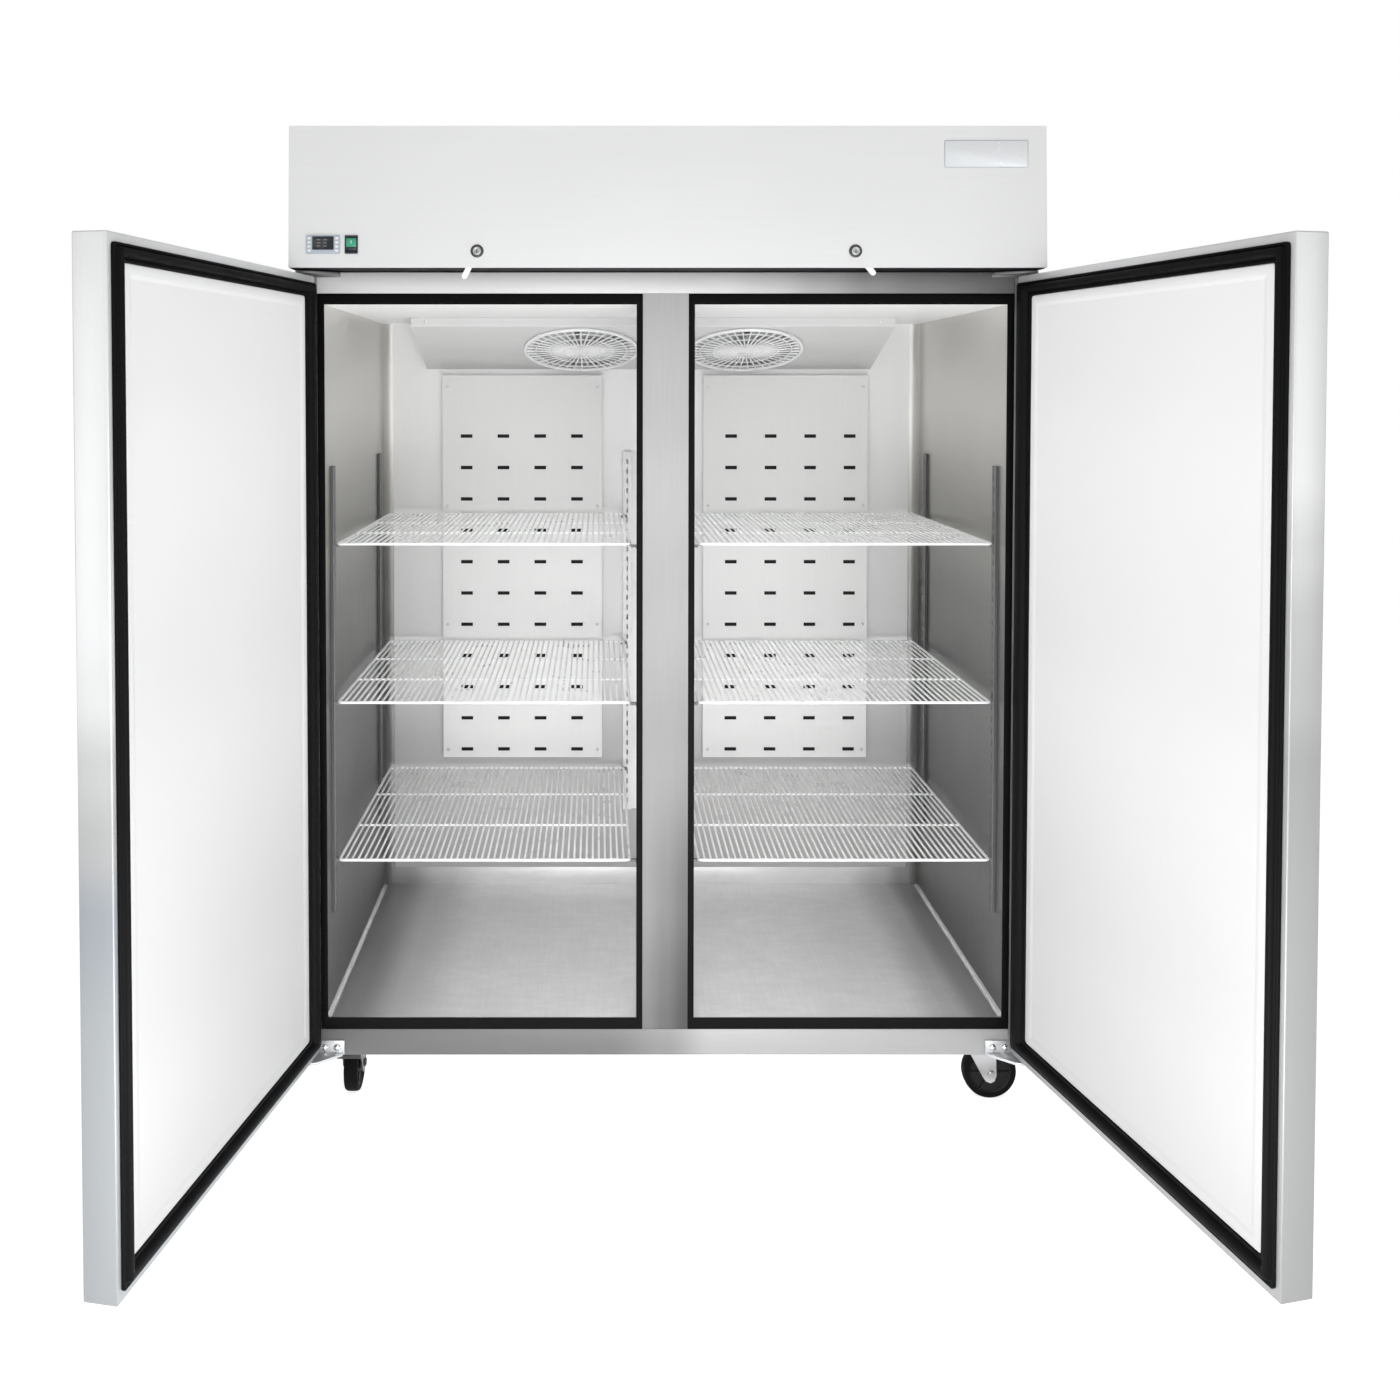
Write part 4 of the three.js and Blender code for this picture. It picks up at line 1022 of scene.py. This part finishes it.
def make_cold_air(look):
    paint("evaporator_cover", look["plenum"])
    paint("evaporator_coil", look["fins"])
    for name in SIDES:
        make_fan(look, name)
        node = f"duct_panel_{name}"
        paint(node, look["duct"])
        low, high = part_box(node)
        # Painted shadow: a dark box behind each duct panel stands for the shade in the hollow behind its slots.
        inset = 2.5 * MM
        shadow_backing = Shape().box(low.x + inset, high.x - inset, low.y + 4 * MM, high.y - 1 * MM,
                             low.z + inset, high.z - inset)
        finish_piece(shadow_backing, f"{node}_lining", ROOT, look["duct_shadow"])
        screws = Shape()
        for x in (low.x + 12 * MM, high.x - 12 * MM):
            for share in (0.02, 0.35, 0.66, 0.97):
                add_screw(screws, (x, low.y, low.z + (high.z - low.z) * share))
        finish_piece(screws, f"{node}_screws", ROOT, look["zinc"])
    low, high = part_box("evaporator_cover")
    screws = Shape()
    for share in (0.03, 0.5, 0.97):
        x = low.x + (high.x - low.x) * share
        add_screw(screws, (x, low.y, high.z - 9 * MM))
    finish_piece(screws, "evaporator_cover_screws", ROOT, look["zinc"])


# ---------------------------------------------------------------- header


def fascia_frame():
    """Origin at the foot of the sloping front sheet, Z up the sheet, Y into the cabinet."""
    low, _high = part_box("header_cover")
    axis = Vector(JOINTS["lock_left_turn"]["axis"]).normalized()
    across = Vector((1, 0, 0))
    up = across.cross(axis)
    return Matrix.Translation((0, low.y, low.z)) @ axes_turn(across, axis, up)


def plate_shape(low, high, radius, edge, steps=5):
    """A flat plate with round corners and a rounded front edge, facing -Y."""
    loops = [
        rounded_loop(low.x, high.x, low.z, high.z, radius, high.y, steps),
        rounded_loop(low.x, high.x, low.z, high.z, radius, low.y + edge, steps),
        rounded_loop(low.x + edge * 0.3, high.x - edge * 0.3, low.z + edge * 0.3,
                     high.z - edge * 0.3, radius - edge * 0.3, low.y + edge * 0.3, steps),
        rounded_loop(low.x + edge, high.x - edge, low.z + edge, high.z - edge,
                     radius - edge, low.y, steps),
    ]
    return Shape().rings(loops)


def make_header(look):
    paint("header_cover", look["header"])
    place = fascia_frame()
    make_controller(look, place)
    make_switch(look, place)
    for name in SIDES:
        make_lock(look, place, name)
    make_header_gap_shadow(look)
    width, height, thick = 164 * MM, 54 * MM, 1.0 * MM
    x, up = 622 * MM, 222 * MM
    rim = plate_shape(Vector((x - width / 2, -thick, up - height / 2)),
                      Vector((x + width / 2, -0.05 * MM, up + height / 2)), 3 * MM, 0.5 * MM)
    finish_piece(rim.moved(place), "badge_rim", ROOT, look["badge_edge"])
    inset = 1.6 * MM
    face = plate_shape(
        Vector((x - width / 2 + inset, -thick - 0.4 * MM, up - height / 2 + inset)),
        Vector((x + width / 2 - inset, -thick + 0.05 * MM, up + height / 2 - inset)),
        2 * MM, 0.35 * MM)
    finish_piece(face.moved(place), "badge_blank_face", ROOT, look["badge"])


def make_header_gap_shadow(look):
    """Painted shadow: a black strip under the header and down to the rail below it, standing for the shade in the
    gap between them.
    """
    low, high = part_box("header_cover")
    rail_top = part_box("top_rail")[1].z
    x = high.x - 2 * MM
    front, back = low.y + 10 * MM, -0.4 * MM
    strip = Shape().box(-x, x, front, back, low.z - 1.4 * MM, low.z - 0.1 * MM)
    strip.box(-x, x, back - 1.2 * MM, back, rail_top + 0.2 * MM, low.z - 1.42 * MM)
    finish_piece(strip, "header_gap_shadow", ROOT, look["black"])


def make_controller(look, place):
    low, high = local_bounds("controller", place)
    body_back = high.y
    half_w, half_h = 28.5 * MM, 14 * MM
    centre = (low + high) / 2
    bezel = plate_shape(Vector((low.x, low.y, low.z)), Vector((high.x, -0.3 * MM, high.z)),
                        3 * MM, 1.2 * MM)
    finish_piece(bezel.moved(place), "controller_bezel", ROOT, look["bezel"],
                 ("controller",))
    body = Shape().box(centre.x - half_w, centre.x + half_w, -0.4 * MM, body_back,
                       centre.z - half_h, centre.z + half_h)
    finish_piece(body.moved(place), "controller_body", ROOT, look["navy"],
                 bevel=0.8 * MM)
    window_low = Vector((centre.x - 21 * MM, low.y - 0.25 * MM, centre.z - 10.5 * MM))
    window_high = Vector((centre.x + 21 * MM, low.y + 0.6 * MM, centre.z + 16 * MM))
    window = plate_shape(window_low, window_high, 1.5 * MM, 0.4 * MM)
    finish_piece(window.moved(place), "controller_display", ROOT, look["display"])
    segments = Shape()
    for digit in range(2):
        left = centre.x - 12 * MM + digit * 12.5 * MM
        for row in range(3):
            z = centre.z - 3 * MM + row * 6 * MM
            segments.box(left, left + 7 * MM, low.y - 0.32 * MM, low.y - 0.2 * MM, z - 0.5 * MM,
                         z + 0.5 * MM)
    finish_piece(segments.moved(place), "controller_digits", ROOT, look["grey_box"])
    marks = Shape()
    for side in (-1, 1):
        x = centre.x + side * 27 * MM
        for row in range(4):
            z = centre.z - 12 * MM + row * 8 * MM
            key = plate_shape(Vector((x - 3 * MM, low.y - 0.5 * MM, z - 2.2 * MM)),
                              Vector((x + 3 * MM, low.y + 0.5 * MM, z + 2.2 * MM)), 1 * MM, 0.3 * MM)
            marks.join(key)
    finish_piece(marks.moved(place), "controller_keys", ROOT, look["key_mark"])


def make_switch(look, place):
    softened("switch_bezel", "switch_rim", look["navy"], 0.6 * MM)
    joint = JOINTS["power_switch_rock"]
    pivot = Matrix.Translation(Vector(joint["pos_m"]))
    rest_tilt = Matrix.Rotation(math.radians(-joint["range_deg"][0] / 2), 4, "X")
    lean = place.to_3x3().to_4x4()
    matrix = pivot @ lean @ rest_tilt
    half = 9.7 * MM
    outline = mm((9, -8), (-2.5, -13.1), (-4.6, -8), (-5.1, 0), (-4.6, 8), (-2.5, 13.1), (9, 8))
    rocker = Shape().rings([[Vector((x, y, z)) for y, z in outline] for x in (-half, half)])
    finish_piece(rocker.moved(matrix), "switch_rocker_cap", "rocker", look["green"],
                 ("switch_rocker",), bevel=0.7 * MM, sharp=28)
    foot = Shape().rings([
        [Vector((x, y, z)) for y, z in ((-2.6 * MM, -13.05 * MM), (-4.75 * MM, -8.2 * MM),
                                        (-4.95 * MM, -3.6 * MM), (-1 * MM, -3.6 * MM),
                                        (-1 * MM, -12.8 * MM))]
        for x in (-half - 0.05 * MM, half + 0.05 * MM)])
    finish_piece(foot.moved(matrix), "switch_rocker_foot", "rocker", look["navy"],
                 bevel=0.3 * MM)
    mark = Shape().box(-0.7 * MM, 0.7 * MM, -5.3 * MM, -4.4 * MM, 2.6 * MM, 8.6 * MM)
    finish_piece(mark.moved(matrix), "switch_rocker_mark", "rocker", look["key_mark"])


def make_lock(look, place, name):
    """A keylock: a collar, a dark plug with its keyway, and a flat tongue behind the sheet."""
    joint = JOINTS[f"lock_{name}_turn"]
    lean = place.to_3x3().to_4x4()
    matrix = Matrix.Translation(Vector(joint["pos_m"])) @ lean
    body = f"lock_{name}_plug"
    collar = Shape().turned(
        mm((8.2, 0.4), (12.8, 0.4), (12.8, 1.0), (11.5, 2.2), (9.4, 3.6), (8.2, 3.6)),
        40, matrix @ FACING)
    finish_piece(collar, f"lock_{name}_collar", body, look["zinc_dark"])
    plug = Shape().turned(
        mm((0, 4.6), (2.0, 4.8), (6.2, 5.8), (7.6, 5.2), (8.1, 4.2), (8.1, -5.6), (0, -5.6)),
        36, matrix @ FACING)
    finish_piece(plug, f"lock_{name}_barrel", body, look["bracket"],
                 (f"lock_{name}",))
    # The keyway is a black bar on the plug: painted shade in the slot.
    slot = Shape().box(-0.7 * MM, 0.7 * MM, -5.4 * MM, -4.2 * MM, -4 * MM, 4 * MM).moved(matrix)
    finish_piece(slot, f"lock_{name}_keyway", body, look["black"])
    low, high = joint["range_deg"]
    rest = -low if name == "left" else -high
    turn = Matrix.Rotation(math.radians(rest), 4, "Y")
    length, half, width = 60 * MM, 1.2 * MM, 5.5 * MM
    middle = 4.6 * MM
    outline = [Vector((-width, middle - half, z)) for z in (6 * MM, -length + width)]
    outline += [p + Vector((0, middle - half, 0))
                for p in arc((0, 0, -length + width), width, 180, 360, 8)]
    outline += [Vector((width, middle - half, 6 * MM))]
    back = [p + Vector((0, 2 * half, 0)) for p in outline]
    tongue = Shape().rings([outline, back]).moved(matrix @ turn)
    finish_piece(tongue, f"lock_{name}_tongue", body, look["wire"])


# ---------------------------------------------------------------- machine compartment


def make_machinery(look):
    paint("condenser_coil", look["fins"])
    low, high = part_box("compressor")
    x, y = (low.x + high.x) / 2, high.y - 75 * MM
    z = low.z
    can = Shape().turned(
        mm((0, 14), (62, 14), (78, 20), (86, 34), (87.5, 60), (87.5, 92), (88, 94), (88, 100),
           (87.5, 102), (87, 128), (82, 158), (70, 178), (48, 191), (22, 197), (0, 198)),
        64, Matrix.Translation((x, y, z)))
    finish_piece(can, "compressor_shell", ROOT, look["enamel"], ("compressor",))
    fittings = Shape()
    fittings.box(x - 94 * MM, x + 94 * MM, y - 74 * MM, y + 74 * MM, z + 13 * MM, z + 16.5 * MM)
    for sx in (-1, 1):
        for sy in (-1, 1):
            fittings.turned(mm((0, 0.1), (10, 0.1), (8, 7), (10, 13.5), (0, 13.5)), 20,
                            Matrix.Translation((x + sx * 78 * MM, y + sy * 60 * MM, z)))
    finish_piece(fittings, "compressor_mounts", ROOT, look["black"], bevel=0.8 * MM)
    terminal = Shape().box(x - 33 * MM, x + 33 * MM, y - 107 * MM, y - 76 * MM, z + 61 * MM,
                           z + 117 * MM)
    finish_piece(terminal, "compressor_terminal_box", ROOT, look["grey_box"],
                 bevel=4 * MM, segments=3)
    make_pipes(look, Vector((x, y, z)))

    coil_low, coil_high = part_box("condenser_coil")
    joint = JOINTS["condenser_fan_spin"]
    fan_low, fan_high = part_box("condenser_fan")
    matrix = Matrix.Translation((joint["pos_m"][0], fan_low.y, joint["pos_m"][2])) @ \
        FACING_BACK
    depth = fan_high.y - fan_low.y
    blades = fan_blades(5, 24 * MM, 89 * MM, 0.5 * MM, depth - 0.5 * MM, 5.3 * MM).moved(matrix)
    finish_piece(blades, "condenser_fan_blades", "condenser_fan_rotor", look["black"],
                 ("condenser_fan",), sharp=45)
    hairpins = Shape()
    for i in range(5):
        zc = coil_low.z + 28 * MM + i * 40 * MM
        for x_end, side in ((coil_low.x, -1), (coil_high.x, 1)):
            yc = coil_low.y + 30 * MM
            points = [Vector((x_end, yc, zc))]
            for k in range(9):
                angle = math.pi * k / 8
                reach = (4 + 8 * math.sin(angle)) * MM
                points.append(Vector((x_end + side * reach, yc,
                                      zc + (1 - math.cos(angle)) * 10 * MM)))
            points += [Vector((x_end, yc, zc + 20 * MM))]
            hairpins.tube(points, 4 * MM, 10)
    finish_piece(hairpins, "condenser_return_bends", ROOT, look["copper"])

    corner, (width, depth, height) = Vector((-0.70, 0.40, coil_low.z)), (0.16, 0.24, 0.10)
    control = Shape().box(corner.x, corner.x + width, corner.y, corner.y + depth, corner.z,
                          corner.z + height)
    finish_piece(control, "control_box", ROOT, look["grey_box"], bevel=3 * MM,
                 segments=3)


def smooth_path(points, radius, steps=6):
    """A path through corner points with each corner rounded."""
    points = [Vector(p) for p in points]
    path = [points[0]]
    for before, corner, after in zip(points, points[1:], points[2:]):
        to_before = (before - corner).normalized()
        to_after = (after - corner).normalized()
        reach = min(radius, (before - corner).length * 0.45, (after - corner).length * 0.45)
        start, end = corner + to_before * reach, corner + to_after * reach
        for i in range(steps + 1):
            t = i / steps
            path.append((1 - t) ** 2 * start + 2 * t * (1 - t) * corner + t ** 2 * end)
    path.append(points[-1])
    return path


def make_pipes(look, compressor):
    """Discharge line to the condenser, liquid line with its drier, and the suction line."""
    x, y, z = compressor
    coil_low, coil_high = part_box("condenser_coil")
    deck = z - 0.3 * MM
    bend = 25 * MM
    pipes = Shape()
    pipes.tube(smooth_path(
        [(x - 60 * MM, y + 40 * MM, z + 178 * MM), (x - 60 * MM, y + 40 * MM, z + 215 * MM),
         (x - 150 * MM, y + 40 * MM, z + 215 * MM), (x - 150 * MM, coil_low.y + 32 * MM, z + 215 * MM),
         (coil_high.x + 30 * MM, coil_low.y + 32 * MM, z + 215 * MM),
         (coil_high.x + 30 * MM, coil_low.y + 32 * MM, coil_high.z - 20 * MM),
         (coil_high.x - 2 * MM, coil_low.y + 32 * MM, coil_high.z - 20 * MM)], bend), 4.5 * MM, 12)
    pipes.tube(smooth_path(
        [(x + 62 * MM, y + 30 * MM, z + 172 * MM), (x + 62 * MM, y + 30 * MM, z + 205 * MM),
         (x + 62 * MM, y + 190 * MM, z + 205 * MM), (x + 62 * MM, y + 190 * MM, deck)], bend),
               7 * MM, 12)
    drier_x = coil_high.x + 70 * MM
    pipes.tube(smooth_path(
        [(coil_high.x - 2 * MM, coil_low.y + 32 * MM, coil_low.z + 25 * MM),
         (drier_x, coil_low.y + 32 * MM, coil_low.z + 25 * MM),
         (drier_x, y + 190 * MM, coil_low.z + 25 * MM), (drier_x, y + 190 * MM, deck)], bend),
               4 * MM, 12)
    finish_piece(pipes, "refrigerant_pipes", ROOT, look["copper"])
    drier = Shape().turned(
        mm((0, -62), (5, -60), (9, -50), (16, -42), (16, 42), (9, 50), (5, 60), (0, 62)), 32,
        Matrix.Translation((drier_x, (coil_low.y + y) / 2 + 0.1, coil_low.z + 25 * MM))
        @ FACING)
    finish_piece(drier, "filter_drier", ROOT, look["copper"])


# ---------------------------------------------------------------- doors


def door_frame(name, side):
    """Pivot frame of a door: X from the hinge to the free edge, Y from its front to its back.

    For the right-hand door X runs the other way, so that both doors share one description."""
    joint = JOINTS[f"door_{name}_hinge"]
    closing = joint["range_deg"][1] if side < 0 else joint["range_deg"][0]
    pivot = Vector(joint["pos_m"])
    pivot.z = 0
    turn = Matrix.Rotation(math.radians(-closing), 4, "Z")
    mirror = Matrix.Diagonal((-side, 1, 1, 1))
    return Matrix.Translation(pivot) @ turn @ mirror


def flat_loop(low_x, high_x, low_z, high_z, y):
    return [Vector((low_x, y, low_z)), Vector((high_x, y, low_z)),
            Vector((high_x, y, high_z)), Vector((low_x, y, high_z))]


def door_box_with_pull(low, high, pull_low, pull_high):
    """A closed door leaf with a recessed pull in its front face."""
    skin = Shape()
    outer = flat_loop(low.x, high.x, low.z, high.z, low.y)
    back = flat_loop(low.x, high.x, low.z, high.z, high.y)
    mouth = flat_loop(pull_low.x, pull_high.x, pull_low.z, pull_high.z, low.y)
    bottom = flat_loop(pull_low.x, pull_high.x, pull_low.z, pull_high.z, pull_high.y)
    verts = back + outer + mouth + bottom
    faces = [(3, 2, 1, 0)]
    for base in (0, 4, 8):
        for k in range(4):
            m = (k + 1) % 4
            faces.append((base + k, base + m, base + 4 + m, base + 4 + k))
    faces.append((12, 13, 14, 15))
    skin.add(verts, faces)
    return skin


def make_door(look, name, side):
    place = door_frame(name, side)
    body = f"door_{name}"
    low, high = local_bounds(f"door_{name}_skin", place)
    pull_low = Vector((664 * MM, low.y, 0.860))
    pull_high = Vector((696 * MM, low.y + 20 * MM, 1.160))
    skin = door_box_with_pull(low, high, pull_low, pull_high).moved(place)
    finish_piece(skin, f"door_{name}_leaf", body, look[f"door_skin_{name}"],
                 (f"door_{name}_skin",), bevel=2.5 * MM, segments=3)
    paint(f"door_{name}_core", look["foam"])

    inner_low, inner_high = local_bounds(f"door_{name}_liner", place)
    outer_low, outer_high = local_bounds(f"door_{name}_gasket", place)
    face = high.y
    steps = [(0, 0.1), (0, 2.4), (0.5, 3.4), (2, 3.9), (15, 3.9), (17, 3.6), (21, 2.3), (23, 2.1)]
    loops = []
    for inset, rise in steps:
        d = inset * MM
        loops.append(rounded_loop(inner_low.x + d, inner_high.x - d, inner_low.z + d,
                                  inner_high.z - d, max(6 * MM - d * 0.2, 1 * MM),
                                  face + rise * MM, 4))
    panel = Shape().rings(loops).moved(place)
    finish_piece(panel, f"door_{name}_panel", body, look["panel"],
                 (f"door_{name}_liner",), sharp=50)

    # Folds of the seal: (share of the way from the inner to the outer edge, rise above the door).
    folds = [(0.0, 0.2), (0.0, 4.2), (0.05, 5.6), (0.14, 5.8), (0.19, 4.0), (0.25, 3.8),
             (0.30, 8.0), (0.36, 11.4), (0.44, 13.2), (0.62, 13.4), (0.70, 12.0), (0.74, 8.4),
             (0.78, 4.2), (0.83, 3.8), (0.87, 5.6), (0.94, 5.8), (1.0, 4.4), (1.0, 0.2)]
    rings = []
    for share, rise in folds:
        x0 = inner_low.x + (outer_low.x - inner_low.x) * share
        x1 = inner_high.x + (outer_high.x - inner_high.x) * share
        z0 = inner_low.z + (outer_low.z - inner_low.z) * share
        z1 = inner_high.z + (outer_high.z - inner_high.z) * share
        rings.append(rounded_loop(x0, x1, z0, z1, 3 * MM + 3 * MM * share, face + rise * MM, 3))
    seal = Shape().rings(rings, closed=True).moved(place)
    finish_piece(seal, f"door_{name}_seal", body, look["gasket"],
                 (f"door_{name}_gasket",), sharp=60)


def make_hinges(look):
    for name, side in SIDES.items():
        upper = f"hinge_upper_{name}"
        # The upper brackets take the strips' dark zinc, which is painted shade.
        softened(upper, f"{upper}_bracket", look["strip_zinc"], 0.8 * MM)
        lower = f"hinge_lower_{name}"
        softened(lower, f"{lower}_bracket", look["bracket"], 0.8 * MM)
        bolts = Shape()
        for x in (667, 692):
            at = Matrix.Translation((side * x * MM, -3.25 * MM, 0.137))
            bolts.turned(mm((0, 5.0), (3, 4.7), (5.6, 3.2), (7, 0.8), (7.2, 0), (0, 0)), 24,
                         at @ FACING)
        finish_piece(bolts, f"{lower}_bolts", ROOT, look["chrome"])


# ---------------------------------------------------------------- casters


def caster_frame(corner):
    """Origin where the swivel axis meets the floor; X points the way the wheel trails."""
    swivel = Vector(JOINTS[f"caster_{corner}_swivel"]["pos_m"])
    wheel = Vector(JOINTS[f"caster_{corner}_roll"]["pos_m"])
    swivel.z = 0
    trail = Vector((wheel.x - swivel.x, wheel.y - swivel.y, 0))
    across = trail.normalized()
    up = Vector((0, 0, 1))
    turn = axes_turn(across, up.cross(across), up)
    return Matrix.Translation(swivel) @ turn, trail.length, wheel.z


def both_faces(outline):
    """An outline of radius and height with its mirror image below it."""
    return [(r, -h) for r, h in outline] + [(r, h) for r, h in reversed(outline)]


def make_wheel(look, corner, axle, radius):
    body = f"caster_{corner}_wheel"
    half = 15 * MM
    rim = radius - 12 * MM
    tread = Shape().turned(both_faces(
        [(rim, half - 2 * MM), (rim + 4 * MM, half), (radius - 3 * MM, half - 1 * MM),
         (radius - 0.7 * MM, half - 4 * MM), (radius, half - 9 * MM)]), 72, axle)
    finish_piece(tread, f"caster_{corner}_tread", body, look["tyre"],
                 (f"caster_wheel_{corner}",), sharp=50)
    hub = Shape().turned(both_faces(
        [(5.4 * MM, half - 1 * MM), (14 * MM, half - 1 * MM), (17 * MM, half - 2.5 * MM),
         (19 * MM, half - 6 * MM), (rim - 4 * MM, half - 6 * MM), (rim - 1 * MM, half - 3 * MM),
         (rim + 0.2 * MM, half - 2.4 * MM)]), 48, axle)
    for i in range(6):
        turn = Matrix.Rotation(math.radians(60 * i), 4, "Z")
        for face in (-1, 1):
            lo, hi = sorted((face * (half - 6.2 * MM), face * (half - 3.2 * MM)))
            rib = Shape().box(18 * MM, rim - 2 * MM, -1.3 * MM, 1.3 * MM, lo, hi)
            rib.moved(axle @ turn)
            hub.join(rib)
    finish_piece(hub, f"caster_{corner}_hub", body, look["hub"], sharp=40)


BRAKED = "front_left"  # the caster with a black fork and a brake pedal


def make_caster(look, corner):
    matrix, trail, radius = caster_frame(corner)
    body = f"caster_{corner}_fork"
    axle = matrix @ Matrix.Translation((trail, 0, radius)) @ FACING
    make_wheel(look, corner, axle, radius)
    metal = look["enamel"] if corner == BRAKED else look["fork"]
    softened(f"caster_fork_{corner}", f"caster_{corner}_fork_shell", metal,
             0.9 * MM)
    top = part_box(f"caster_fork_{corner}")[1].z
    hardware = Shape().turned(
        mm((0, -13.5), (26.5, -13.5), (28, -12), (28, -9.5), (26, -8), (25.2, -7), (27, -6),
           (27.5, -3.5), (26, -1.2), (0, -1.2)), 48, matrix @ Matrix.Translation((0, 0, top)))
    for face in (-1, 1):
        nut = Matrix.Translation((trail, face * 20.2 * MM, radius)) @ \
            Matrix.Rotation(-face * math.pi / 2, 4, "X")
        sides = 6 if face < 0 else 28
        hardware.turned(mm((0, 0), (8.2, 0), (8.2, 3.8), (6.6, 4.6), (0, 4.7)), sides,
                        matrix @ nut)
    finish_piece(hardware, f"caster_{corner}_race_and_nuts", body, metal)
    if corner == BRAKED:
        pedal = Shape().box(-37 * MM, -22 * MM, -25 * MM, 25 * MM, 104 * MM, 109 * MM)
        pedal.box(-37 * MM, -33 * MM, -25 * MM, 25 * MM, 96 * MM, 104.1 * MM)
        pedal.moved(matrix)
        finish_piece(pedal, "caster_brake_pedal", body, look["enamel"],
                     bevel=1 * MM)


# ---------------------------------------------------------------- assembly


def build():
    look = make_materials()
    make_camera()
    make_world()
    make_floor()
    for light in LIGHTS:
        make_area_light(*light)
    make_liner(look)
    make_face_frame(look)
    make_pilasters(look)
    make_centre_supports(look)
    make_shelves(look)
    make_cold_air(look)
    make_header(look)
    make_machinery(look)
    for name, side in SIDES.items():
        make_door(look, name, side)
    make_hinges(look)
    for corner in CORNERS:
        make_caster(look, corner)
    bpy.context.scene.view_settings.view_transform = "Standard"


build()
bpy.context.view_layer.update()
